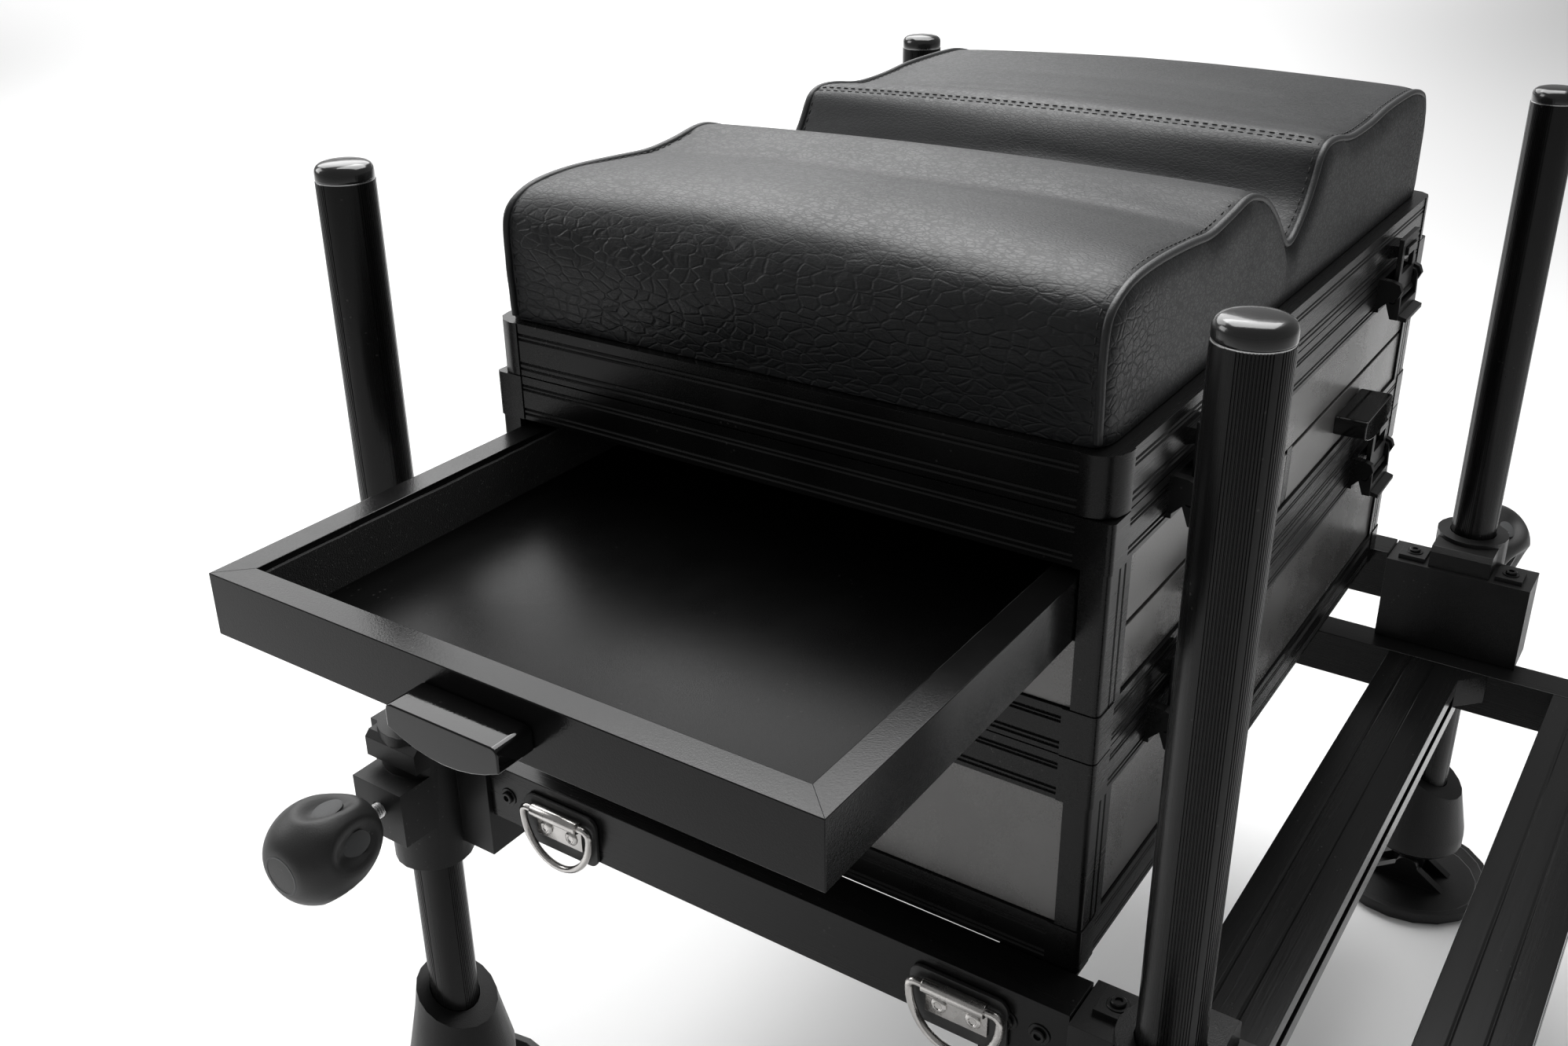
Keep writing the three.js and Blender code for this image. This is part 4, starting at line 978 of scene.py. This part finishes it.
    def finish(self, pad: bpy.types.Object) -> None:
        """Smooth the cover, then draw in its seams, the valley's end creases and the flanks' soft folds."""
        apply_modifier(pad, "SMOOTH", factor=0.4, iterations=2)
        apply_modifier(pad, "SUBSURF", levels=1, render_levels=1)
        valley = self.across + self.valley * self.half_width
        deep, wide = self.ridge_cut
        for vertex in pad.data.vertices:
            point = vertex.co
            free = self.lift(point)
            for ridge in self.ridges:
                gap = point.x - self.across - ridge * self.half_width
                if point.z > self.low.z + 0.6 * self.height:
                    point.z -= deep * bell(gap, wide)
            for level, way in ((self.low.y, 1.0), (self.high.y, -1.0)):
                inset = (point.y - level) * way
                if inset < self.seam_inset + self.hold:
                    crease = bell(point.x - valley, self.valley_hold) * free
                    point.y += way * self.valley_pull * crease
            flank = abs(point.x - self.across) / self.half_width
            if flank > 0.9 and 0.2 < free:
                folds = sum(
                    noise.noise(Vector((point.x * x, point.y * y, point.z * z))) * rise
                    for x, y, z, rise in self.folds)
                point.x += math.copysign(folds, point.x - self.across) * min(1.0, (flank - 0.9) / 0.05)
            point.y = min(max(point.y, self.low.y + self.margin), self.high.y - self.margin)
        with editing(pad):
            bpy.ops.mesh.bisect(
                plane_co=(0, 0, self.low.z + 0.0001), plane_no=(0, 0, 1), use_fill=True, clear_inner=True)

    def over(self, pad: bpy.types.Object, level: float) -> list[tuple[Vector, Vector]]:
        """Follow the cover across the humps.

        Args:
            pad: the pad.
            level: the distance along Y.

        Returns:
            Points on the cover and the directions that they face.
        """
        rows = [Vector((self.across + x, level, self.low.z + z)) for x, z in self.edge(230)]
        found: list[tuple[Vector, Vector]] = []
        for index, point in enumerate(rows):
            run = rows[min(index + 1, len(rows) - 1)] - rows[max(index - 1, 0)]
            out = Vector((-run.z, 0, run.x)).normalized()
            hit, where, _, _ = pad.ray_cast(point + out * 0.009, -out, distance=0.02)
            if hit and where.z > self.low.z + 0.001:
                found.append((where, out))
        for _ in range(6):
            inner = [
                ((one[0] + two[0] * 2 + three[0]) / 4, two[1])
                for one, two, three in zip(found, found[1:], found[2:])]
            found = [found[0], *inner, found[-1]]
        return found

    def along(self, pad: bpy.types.Object, x: float) -> list[Vector]:
        """Follow the cover from the front seam to the back seam at one place across."""
        rows: list[Vector] = []
        start, end = self.low.y + self.seam_inset * 1.4, self.high.y - self.seam_inset * 1.4
        for step in range(120):
            y = start + (end - start) * step / 119
            hit, where, _, _ = pad.ray_cast(Vector((x, y, self.high.z + 0.02)), DOWN)
            if hit:
                rows.append(where + Vector((0, 0, self.thread * 0.4)))
        return rows

    def sew(self, seams: Sequence[Sequence[Vector]]) -> None:
        """Lay stitches along the seams, all of them copies of one."""
        half = self.stitch / 2
        first = turned("cushion_stitches", [
            (self.thread * 0.3, -half), (self.thread, -half * 0.7), (self.thread, half * 0.7),
            (self.thread * 0.3, half)], 6)
        stitches: list[bpy.types.Object] = []
        for seam in seams:
            run = 0.0
            for one, two in zip(seam, seam[1:]):
                run += (two - one).length
                if run >= self.pitch:
                    run = 0.0
                    turn = (two - one).to_track_quat("Z", "Y").to_matrix()
                    stitches.append(place(copied(first, "stitch"), turn, two))
        bpy.data.objects.remove(first)
        whole = joined("cushion_stitches", *stitches)
        hand_over(dressed(whole, Look.THREAD, 60), body_of("seat_cushion"), Look.THREAD)


# The legs


@dataclass
class Leg:
    """A fluted leg: a tube with four bands of fine flutes, a bright rim and a glossy domed cap.

    Attributes:
        corner: which leg it is.
        radius: outer radius of the tube.
        bands: start and end in degrees of the two fluted bands, for the front left leg; the far side has the same.
        pitch: distance from one flute to the next.
        depth: depth of a flute.
        cap: height of the cap.
        seam: height of the bright rim below the cap.
        dome: radius as a share of the tube's, and height as a share of the cap's, at each step of the cap.
    """

    corner: Corner
    radius: float = 0.0125
    bands: tuple[tuple[float, float], ...] = ((173.0, 226.0), (236.0, 289.0))
    pitch: float = 0.00105
    depth: float = 0.00032
    cap: float = 0.008
    seam: float = 0.0005
    dome: tuple[tuple[float, float], ...] = (
        (0.955, 0.0), (0.985, 0.04), (0.99, 0.1), (0.985, 0.45), (0.96, 0.62), (0.9, 0.76), (0.8, 0.86),
        (0.66, 0.92), (0.45, 0.97), (0.22, 0.99), (0.05, 1.0),
    )

    def build(self) -> None:
        """Build the leg and hand it over."""
        node = f"leg_{self.corner.value}"
        low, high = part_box(node)
        centre = (low + high) / 2
        length = high.z - low.z - self.cap - self.seam
        tube = outlined(f"{node}_tube", self.outline(), length)
        place(tube, at=(centre.x, centre.y, low.z))
        dressed(tube, Look.FRAME_Z, 25)
        rim = turned(f"{node}_rim", [
            (self.radius * 0.93, 0.0), (self.radius * 0.975, 0.0), (self.radius * 0.975, self.seam),
            (self.radius * 0.93, self.seam)], 48)
        dressed(place(rim, at=(centre.x, centre.y, low.z + length)), Look.ALLOY)
        cap = turned(f"{node}_cap", [
            (self.radius * wide, self.cap * rise) for wide, rise in self.dome], 48)
        dressed(place(cap, at=(centre.x, centre.y, high.z - self.cap)), Look.CAP, 50)
        whole = joined(f"{node}_tube", tube, rim, cap)
        hand_over(whole, body_of(node), Look.FRAME_Z, node)

    def outline(self) -> list[tuple[float, float]]:
        """Return the tube's outline, with its flutes."""
        flip = {Corner.FRONT_LEFT: (1, 1), Corner.FRONT_RIGHT: (-1, 1), Corner.BACK_LEFT: (1, -1),
                Corner.BACK_RIGHT: (-1, -1)}[self.corner]
        points: list[tuple[float, float]] = []
        step = math.degrees(self.pitch / self.radius)
        starts = sorted((start + turn) % 360 for start, _ in self.bands for turn in (0, 180))
        width = self.bands[0][1] - self.bands[0][0]
        count = round(width / step)
        for index, start in enumerate(starts):
            for flute in range(count):
                angle = start + width * flute / count
                for share, cut in ((0.0, 0.0), (0.5, 0.0), (0.66, 1.0), (0.84, 1.0)):
                    points.append(self.at(angle + share * width / count, self.depth * cut))
            following = starts[(index + 1) % len(starts)] + (360 if index == len(starts) - 1 else 0)
            plain = following - start - width
            steps = max(2, round(plain / 5))
            points += [self.at(start + width + plain * part / steps, 0.0) for part in range(steps)]
        return [(x * flip[0], y * flip[1]) for x, y in points]

    def at(self, angle: float, cut: float) -> tuple[float, float]:
        """Return the point at an angle in degrees, cut in from the tube's outside."""
        turn = math.radians(angle)
        return ((self.radius - cut) * math.cos(turn), (self.radius - cut) * math.sin(turn))


# The clamp knobs


@dataclass
class Knob:
    """A soft-touch clamp knob: an egg with five deep scoops, an inset pad in each, and a plain end disc in a ring.

    Attributes:
        corner: the leg that it clamps.
        length: length of the egg.
        radius: its widest radius.
        profile: place along the egg and radius, as shares of its length and of its widest radius.
        scoops: how many scoops there are.
        place_share: where the scoops' middle lies, as a share of the length.
        scoop: half length, half width and depth of a scoop.
        pad: half length and half width of the pad in a scoop.
        pad_thick: thickness of the pad's wall.
        pad_steps: width and rise of each step from the pad's edge to its middle.
        disc: radius of the end disc's ring.
        bead: radius of the ring's wire, by which a pad also sits below its scoop's floor.
        stud: radius of the stud.
        thread: pitch of the stud's thread.
    """

    corner: Corner
    length: float = 0.051
    radius: float = 0.0249
    profile: tuple[tuple[float, float], ...] = (
        (0.0, 0.40), (0.02, 0.5), (0.08, 0.62), (0.18, 0.76), (0.3, 0.89), (0.42, 0.97), (0.54, 1.0),
        (0.66, 0.98), (0.77, 0.91), (0.86, 0.81), (0.93, 0.69), (0.975, 0.57), (0.995, 0.47), (1.0, 0.4),
    )
    scoops: int = 5
    place_share: float = 0.42
    scoop: tuple[float, float, float] = (0.0155, 0.0108, 0.0062)
    pad: tuple[float, float] = (0.0088, 0.0058)
    pad_thick: float = 0.0016
    pad_steps: tuple[tuple[float, float], ...] = ((0.0009, 0.0003), (0.0018, 0.00025))
    disc: float = 0.0105
    bead: float = 0.0009
    stud: float = 0.004
    thread: float = 0.00125

    def build(self) -> None:
        """Build the knob, and hand it over with its pads, ring and stud."""
        node = f"clamp_knob_{self.corner.value}"
        low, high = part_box(node)
        left = "left" in self.corner.value
        turn = TO_LEFT if left else TO_RIGHT
        outer = low.x if left else high.x
        inward = 1 if left else -1
        at = (outer + inward * self.length, (low.y + high.y) / 2, self.level(node))
        parts = [self.egg(node), *self.pads(node), self.ring(node), self.screw(node, abs(high.x - low.x))]
        whole = joined(f"{node}_grip", *parts)
        place(whole, turn, at)
        hand_over(whole, body_of(node), Look.RUBBER, node)

    def level(self, node: str) -> float:
        """Return the height of the knob's axis: its scoops leave the highest point off centre, so both ends count."""
        joint = next(j for j in frame["record"]["behaviour"]["joints"] if j["child"] == body_of(node))
        return joint["pos_m"][2]

    def egg(self, node: str) -> bpy.types.Object:
        """Model the grip: a turned egg, divided finely, with the scoops pressed into it."""
        rows = spline_through([(self.length * along, self.radius * wide) for along, wide in self.profile], 44)
        egg = turned(f"{node}_egg", [(wide, along) for along, wide in rows], 100)
        long, wide, deep = self.scoop
        for vertex in egg.data.vertices:
            point = vertex.co
            reach = math.hypot(point.x, point.y)
            if reach < self.disc + 0.0012 and point.z > self.length * 0.9:
                continue
            angle = math.atan2(point.y, point.x) * self.scoops / (2 * math.pi)
            offset = (angle - round(angle)) / self.scoops * 2 * math.pi * reach
            along = point.z - self.place_share * self.length
            rise = min(1.0, max(0.0, (math.hypot(offset / wide, along / long) - 0.42) / 0.78))
            cut = deep * (1 - rise * rise * (3 - 2 * rise))
            point.x *= (reach - cut) / reach
            point.y *= (reach - cut) / reach
        return dressed(egg, Look.RUBBER, 60)

    def pads(self, node: str) -> list[bpy.types.Object]:
        """Model the pad of one scoop and copy it round the knob."""
        long, wide = self.pad
        floor = self.radius * 0.965 - self.scoop[2]
        bpy.ops.object.select_all(action="DESELECT")
        bpy.ops.mesh.primitive_circle_add(vertices=28, radius=1, fill_type="NGON")
        pad = primitive(f"{node}_pad")
        with editing(pad, "FACE"):
            bpy.ops.transform.resize(value=(long, wide, 1))
            bpy.ops.mesh.extrude_region_move(TRANSFORM_OT_translate={"value": (0, 0, self.pad_thick)})
            bpy.ops.transform.resize(value=(0.97, 0.97, 1), center_override=(0, 0, self.pad_thick))
            for thickness, depth in self.pad_steps:
                bpy.ops.mesh.inset(thickness=thickness, depth=depth)
            face_outwards()
        place(pad, TO_RIGHT, (floor - self.bead, 0, self.place_share * self.length))
        dressed(pad, Look.INSERT, 50)
        pads = [pad]
        for index in range(1, self.scoops):
            twin = copied(pad, f"{node}_pad_{index}")
            pads.append(place(twin, Matrix.Rotation(2 * math.pi * index / self.scoops, 3, "Z")))
        return pads

    def ring(self, node: str) -> bpy.types.Object:
        """Model the grey ring round the bare end disc."""
        bpy.ops.object.select_all(action="DESELECT")
        bpy.ops.mesh.primitive_torus_add(
            major_segments=48, minor_segments=8, major_radius=self.disc - self.bead, minor_radius=self.bead,
            location=(0, 0, 0))
        ring = primitive(f"{node}_ring")
        place(ring, Matrix.Diagonal((1, 1, 0.45)), (0, 0, self.length - 0.00022))
        return dressed(ring, Look.INSERT, 60)

    def screw(self, node: str, whole: float) -> bpy.types.Object:
        """Model the bright threaded stud."""
        start = -(whole - self.length)
        steps: list[tuple[float, float]] = [(self.stud * 0.6, start), (self.stud * 0.85, start + 0.0004)]
        z = start + 0.0008
        while z < -self.thread:
            steps += [(self.stud, z), (self.stud * 0.84, z + self.thread / 2)]
            z += self.thread
        steps += [(self.stud * 0.9, 0.0005), (self.stud * 0.5, 0.001)]
        screw = turned(f"{node}_stud", steps, 20)
        return dressed(screw, Look.ALLOY, 20)


# The strap rings on the left rail


@dataclass
class StrapRing:
    """A bright D-ring in a folded plate, riveted through a rubber pad to the left rail.

    Attributes:
        end: the end of the rail that it is at.
        wire: radius of the ring's wire.
        corner: radius of the round corners of its straight side.
        plate_width: width of the folded plate.
        plate: thickness of the folded plate.
        curl: outer radius of the fold round the wire.
        plate_drop: how far the plate hangs below the wire.
        rivet: radius of a rivet's head.
        rivet_offset: how far a rivet lies from the middle.
    """

    end: str
    wire: float = 0.0018
    corner: float = 0.0035
    plate_width: float = 0.028
    plate: float = 0.0012
    curl: float = 0.0031
    plate_drop: float = 0.015
    rivet: float = 0.0036
    rivet_offset: float = 0.0078

    def build(self) -> None:
        """Build the ring, then the plate with its pad and rivets."""
        ring_node, plate_node = f"strap_ring_{self.end}", f"strap_plate_{self.end}"
        low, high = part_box(ring_node)
        self.x = (low.x + high.x) / 2
        self.y = (low.y + high.y) / 2
        self.z = high.z - self.wire
        self.half = (high.y - low.y) / 2 - self.wire
        self.fall = high.z - low.z - 2 * self.wire
        ring = wire(f"{ring_node}_wire", self.bow(), self.wire, closed=True, around=4)
        hand_over(dressed(ring, Look.STEEL, 60), body_of(ring_node), Look.STEEL, ring_node)
        self.hand_plate(plate_node)

    def bow(self) -> list[tuple[float, float, float]]:
        """Return the ring's path: a straight side with small round corners, and a bow below it."""
        corner = self.corner
        outline: list[tuple[float, float]] = []
        for step in range(7):
            turn = math.radians(90 - step * 15)
            outline.append((self.half - corner + corner * math.cos(turn), -corner + corner * math.sin(turn)))
        for step in range(1, 30):
            turn = math.pi * step / 30
            outline.append((self.half * math.cos(turn), -corner - (self.fall - corner) * math.sin(turn)))
        for step in range(7):
            turn = math.radians(180 - step * 15)
            outline.append((-self.half + corner + corner * math.cos(turn), -corner + corner * math.sin(turn)))
        return [(self.x, self.y + across, self.z + up) for across, up in outline]

    def hand_plate(self, node: str) -> None:
        """Build the pad, the folded plate and its rivets as one piece."""
        low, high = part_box(node)
        pad = self.pad(low, high)
        fold = self.fold()
        rivets = [self.head(side) for side in (-1, 1)]
        whole = joined(f"{node}_fold", fold, pad, *rivets)
        hand_over(whole, body_of(node), Look.STEEL, node)

    def pad(self, low: Vector, high: Vector) -> bpy.types.Object:
        """Model the rubber pad behind the plate."""
        back = self.x + self.curl
        outline = soft_corners((high.y - low.y) / 2, (high.z - low.z) / 2, 0.005)
        pad = rounded(outlined("strap_pad", outline, high.x - back), 0.0003, 2, 60)
        place(pad, ON_EDGE, (back, (low.y + high.y) / 2, (low.z + high.z) / 2))
        return dressed(pad, Look.RUBBER, 40)

    def fold(self) -> bpy.types.Object:
        """Model the plate: flat below, and curled round the wire above."""
        back = self.x + self.curl
        meet = math.degrees(math.asin((self.curl - self.plate) / self.curl)) - 90
        turns = [math.radians(meet - (meet + 360) * step / 20) for step in range(21)]
        rows = [(back - self.plate, self.z - self.plate_drop)]
        rows += [(self.x + self.curl * math.cos(turn), self.z + self.curl * math.sin(turn)) for turn in turns]
        rows.append((back, self.z - self.plate_drop))
        fold = outlined("strap_fold", rows, self.plate_width)
        place(fold, TO_FRONT, (0, self.y + self.plate_width / 2, 0))
        return dressed(rounded(fold, 0.0003, 2, 50), Look.STEEL, 35)

    def head(self, side: int) -> bpy.types.Object:
        """Model one rivet's domed head with its dimple."""
        size = self.rivet
        head = turned("strap_rivet", [
            (size, 0.0), (size, 0.0004), (size * 0.86, 0.0009), (size * 0.6, 0.00115), (size * 0.5, 0.0010),
            (size * 0.42, 0.0006), (size * 0.1, 0.0006)], 24)
        at = (self.x + self.curl - self.plate, self.y + side * self.rivet_offset, self.z - self.plate_drop * 0.62)
        return dressed(place(head, TO_LEFT, at), Look.STEEL, 30)


# The side drawer's lining and seams, and the painted highlights on the pulls


@dataclass
class SideDrawerDetail:
    """What the side drawer carries besides its own body: a felt lining, mitred corners and a satin floor.

    Attributes:
        bar: width of the drawer's sides.
        felt: thickness of the lining.
        below: how far the lining's edge lies below the sides' top.
        tray: thickness of the drawer's floor.
        line: radius of a mitre line.
        fibres: how far the felt's edge strays.
        gap: room between the lining and what it lies against.
        sheet: height of the floor sheet's underside and top above the drawer's floor.
    """

    bar: float = 0.012
    felt: float = 0.0018
    below: float = 0.0024
    tray: float = 0.0018
    line: float = 0.00016
    fibres: float = 0.0004
    gap: float = 0.00015
    sheet: tuple[float, float] = (0.0001, 0.0007)

    def build(self) -> None:
        """Build the lining, the floor sheet and the mitre lines."""
        low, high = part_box("side_drawer")
        left, right = low.x + self.bar, high.x - self.bar
        front, back = low.y + self.bar, high.y - self.bar
        bottom, top = low.z + self.tray + 0.0003, high.z - self.below
        gap = self.gap
        walls = [
            self.wall("front", (left + gap, front + gap, bottom), (right - gap, front + self.felt, top)),
            self.wall("back", (left + gap, back - self.felt, bottom), (right - gap, back - gap, top)),
            self.wall("outer", (left + gap, front + self.felt, bottom), (left + self.felt, back - self.felt, top)),
            self.wall("inner", (right - self.felt, front + self.felt, bottom), (right - gap, back - self.felt, top)),
        ]
        lining = joined("side_drawer_lining", *walls)
        hand_over(lining, body_of("side_drawer"), Look.FELT)
        inset = self.felt + 0.0002
        under, over = (low.z + self.tray + height for height in self.sheet)
        sheet = slab("side_drawer_floor", (left + inset, front + inset, under), (right - inset, back - inset, over))
        rounded(sheet, 0.0002, 2, 40)
        hand_over(dressed(sheet, Look.DRAWER_FLOOR), body_of("side_drawer"), Look.DRAWER_FLOOR)
        self.mitres(low, high)

    def wall(self, name: str, low: Sequence[float], high: Sequence[float]) -> bpy.types.Object:
        """Model one strip of the lining with a slightly frayed top edge."""
        strip = slab(f"lining_{name}", low, high)
        with editing(strip):
            bpy.ops.mesh.subdivide(number_cuts=6)
            bpy.ops.mesh.subdivide(number_cuts=6)
        for vertex in strip.data.vertices:
            if vertex.co.z > high[2] - 0.0001:
                vertex.co.z += self.fibres * (noise.noise(vertex.co * 260) - 0.3)
        return dressed(strip, Look.FELT, 60)

    def mitres(self, low: Vector, high: Vector) -> None:
        """Lay the fine dark lines where the sides meet at the corners."""
        lines = []
        lift = self.line * 0.35
        for x, inward_x in ((low.x, 1), (high.x, -1)):
            for y, inward_y in ((low.y, 1), (high.y, -1)):
                start = (x + inward_x * 0.0004, y + inward_y * 0.0004, high.z - self.line + lift)
                end = (x + inward_x * self.bar, y + inward_y * self.bar, high.z - self.line + lift)
                lines.append(wire("mitre", [start, end], self.line))
        whole = joined("side_drawer_mitres", *lines)
        hand_over(dressed(whole, Look.FELT), body_of("side_drawer"), Look.FELT)


@dataclass
class PullHighlight:
    """A painted highlight: a fine bright alloy wire along the arched lower rim of a pull, where the glossy rim
    catches the light.

    Attributes:
        node: the pull.
        belly: how far the rim hangs below its ends.
        radius: radius of the highlight's wire.
    """

    node: str
    belly: float = 0.006
    radius: float = 0.00022

    def build(self) -> None:
        """Build the painted highlight and hand it over."""
        low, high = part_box(self.node)
        side = self.node.startswith("side")
        start, end = (low.y, high.y) if side else (low.x, high.x)
        rows: list[Point] = []
        for step in range(33):
            along = 2 * step / 32 - 1
            across = (start + end) / 2 + along * ((end - start) / 2 - 0.0005)
            z = low.z + self.belly * along * along + 0.00018
            rows.append((low.x + 0.0006, across, z) if side else (across, low.y + 0.0006, z))
        # painted highlight: a bright metal wire along the pull's lower rim, standing in for the light that the glossy
        # rim reflects
        edge = wire(f"{self.node}_rim", rows, self.radius)
        hand_over(dressed(edge, Look.ALLOY), body_of(self.node), Look.ALLOY)


# Screws


@dataclass
class Screws:
    """The socket screws that hold the leg blocks and the rails' brackets.

    Attributes:
        radius: radius of a head.
        height: height of a head.
        washer: radius of the washer.
        lug_along: how far the lugs lie from the leg along Y.
        lug_in: how far the lugs lie from the leg towards the box.
        bracket: how far a bracket's two screws lie from the rail's end.
    """

    radius: float = 0.0031
    height: float = 0.0021
    washer: float = 0.0047
    lug_along: float = 0.027
    lug_in: float = 0.0195
    bracket: tuple[float, float] = (0.012, 0.026)

    def build(self) -> None:
        """Put a screw on every lug and on every bracket."""
        first = self.screw()
        placed: list[bpy.types.Object] = []
        for corner in Corner:
            leg = middle(f"leg_{corner.value}")
            inward = 1 if "left" in corner.value else -1
            block = frame["nodes"][f"leg_block_{corner.value}"]
            for way in (-1, 1):
                start = Vector((leg.x + inward * self.lug_in, leg.y + way * self.lug_along, leg.z + 0.5))
                hit, where, normal, _ = block.ray_cast(start, DOWN)
                if hit and normal.z > 0.9:
                    placed.append(place(copied(first, "screw"), UPRIGHT, where))
        for side in Side:
            low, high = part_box(f"side_rail_{side.value}")
            rail = frame["nodes"][f"side_rail_{side.value}"]
            out = -1 if side is Side.LEFT else 1
            near, far = self.bracket
            for y in (low.y + near, low.y + far, high.y - far, high.y - near):
                start = Vector(((low.x if out < 0 else high.x) + out * 0.05, y, (low.z + high.z) / 2))
                hit, where, normal, _ = rail.ray_cast(start, Vector((-out, 0, 0)))
                if hit and abs(normal.x) > 0.9:
                    placed.append(place(copied(first, "screw"), TO_LEFT if out < 0 else TO_RIGHT, where))
        bpy.data.objects.remove(first)
        whole = joined("frame_screws", *placed)
        hand_over(whole, "box", Look.SCREW)

    def screw(self) -> bpy.types.Object:
        """Model one screw: a washer, a rounded head and a six-sided socket."""
        head = turned("screw_head", [
            (self.washer, 0.0), (self.washer, 0.0004), (self.washer * 0.96, 0.0006), (self.radius, 0.0006),
            (self.radius, self.height * 0.8), (self.radius * 0.86, self.height), (self.radius * 0.52, self.height),
            (self.radius * 0.48, self.height * 0.5)], 24)
        return dressed(head, Look.SCREW, 30)


# The floor, the lights and the camera


@dataclass
class Studio:
    """A pale floor, soft lights and a camera that looks from where the photograph was taken.

    Attributes:
        eye: where the camera stands.
        yaw: its turn about the upright, in degrees.
        pitch: how far it looks down, in degrees.
        roll: how far it leans, in degrees.
        lens: its focal length in millimetres on a 36 mm sensor.
        shift: how far the picture's centre lies from the lens's axis.
        sky: how bright the surroundings are.
        lights: name, place, aim, width, height and power in watts of each area light.
    """

    eye: Point = (-0.63245, -0.28665, 0.671)
    yaw: float = -55.424
    pitch: float = 24.578
    roll: float = -0.948
    lens: float = 35.04
    shift: tuple[float, float] = (0.0, -0.0258)
    sky: float = 0.24
    lights: tuple[tuple[str, Point, Point, float, float, float], ...] = (
        ("overhead", (0.45, 0.2, 1.6), (0.2, 0.1, 0.0), 1.3, 1.1, 26.0),
        ("behind", (1.5, 2.1, 2.0), (0.9, 1.3, 0.0), 3.0, 2.0, 60.0),
        ("left_back", (-0.5, 1.5, 1.0), (0.0, 0.0, 0.3), 0.7, 0.7, 6.0),
        ("far_floor", (5.0, 4.1, 0.8), (5.0, 4.1, 0.0), 6.5, 6.5, 130.0),
    )

    def build(self) -> None:
        """Put up the floor, the lights and the camera."""
        self.floor()
        self.surroundings()
        for name, place_, aim, width, height, power in self.lights:
            self.light(name, Vector(place_), Vector(aim), width, height, power)
        self.camera()

    def floor(self) -> None:
        """Lay a wide pale floor."""
        bpy.ops.object.select_all(action="DESELECT")
        bpy.ops.mesh.primitive_plane_add(size=14, location=(0, 0, 0))
        floor = primitive("studio_floor")
        material = bpy.data.materials.new("studio_white")
        material.use_nodes = True
        shader = material.node_tree.nodes["Principled BSDF"]
        shader.inputs["Base Color"].default_value = (0.92, 0.92, 0.92, 1)
        shader.inputs["Roughness"].default_value = 0.9
        floor.data.materials.append(material)

    def surroundings(self) -> None:
        """Make the surroundings an even, nearly white light."""
        world = bpy.data.worlds.new("studio")
        world.use_nodes = True
        background = world.node_tree.nodes["Background"]
        background.inputs["Color"].default_value = (1, 1, 1, 1)
        background.inputs["Strength"].default_value = self.sky
        bpy.context.scene.world = world
        bpy.context.scene.view_settings.view_transform = "Standard"

    def light(self, name: str, at: Vector, aim: Vector, width: float, height: float, power: float) -> None:
        """Add one soft area light.

        Args:
            name: its name.
            at: where it stands.
            aim: the point that it faces.
            width: its width.
            height: its height.
            power: its power in watts.
        """
        lamp = bpy.data.lights.new(name, "AREA")
        lamp.shape = "RECTANGLE"
        lamp.size = width
        lamp.size_y = height
        lamp.energy = power
        piece = bpy.data.objects.new(name, lamp)
        piece.matrix_world = Matrix.Translation(at) @ (aim - at).to_track_quat("-Z", "Y").to_matrix().to_4x4()
        bpy.context.scene.collection.objects.link(piece)

    def camera(self) -> None:
        """Add the camera."""
        yaw, pitch, roll = (math.radians(angle) for angle in (self.yaw, self.pitch, self.roll))
        back = Vector((math.sin(yaw) * math.cos(pitch), -math.cos(yaw) * math.cos(pitch), math.sin(pitch)))
        level = Vector((math.cos(yaw), math.sin(yaw), 0))
        upward = back.cross(level)
        right = math.cos(roll) * level + math.sin(roll) * upward
        up = math.cos(roll) * upward - math.sin(roll) * level
        camera = bpy.data.cameras.new("camera")
        camera.lens = self.lens
        camera.sensor_width = 36.0
        camera.shift_x, camera.shift_y = self.shift
        camera.clip_start = 0.05
        piece = bpy.data.objects.new("camera", camera)
        turn = Matrix((right, up, back)).transposed()
        piece.matrix_world = Matrix.Translation(Vector(self.eye)) @ turn.to_4x4()
        bpy.context.scene.collection.objects.link(piece)
        bpy.context.scene.camera = piece


def main() -> None:
    """Build every sub-assembly in order."""
    logging.basicConfig(level=logging.INFO, format="%(message)s")
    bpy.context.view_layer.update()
    Studio().build()
    Cushion().build()
    for corner in Corner:
        Leg(corner).build()
        Knob(corner).build()
    for end in ("front", "back"):
        StrapRing(end).build()
    SideDrawerDetail().build()
    # painted highlights along the pulls' lower rims
    for pull in ("side_drawer_pull", "front_drawer_pull_left", "front_drawer_pull_right"):
        PullHighlight(pull).build()
    Screws().build()
    replaced = {"seat_cushion"}
    replaced |= {name for name in frame["nodes"] if name.startswith(("clamp_knob", "strap_"))}
    replaced |= {f"leg_{corner.value}" for corner in Corner}
    Metalwork().build([name for name in frame["nodes"] if name not in replaced])


if __name__ == "__main__":
    main()
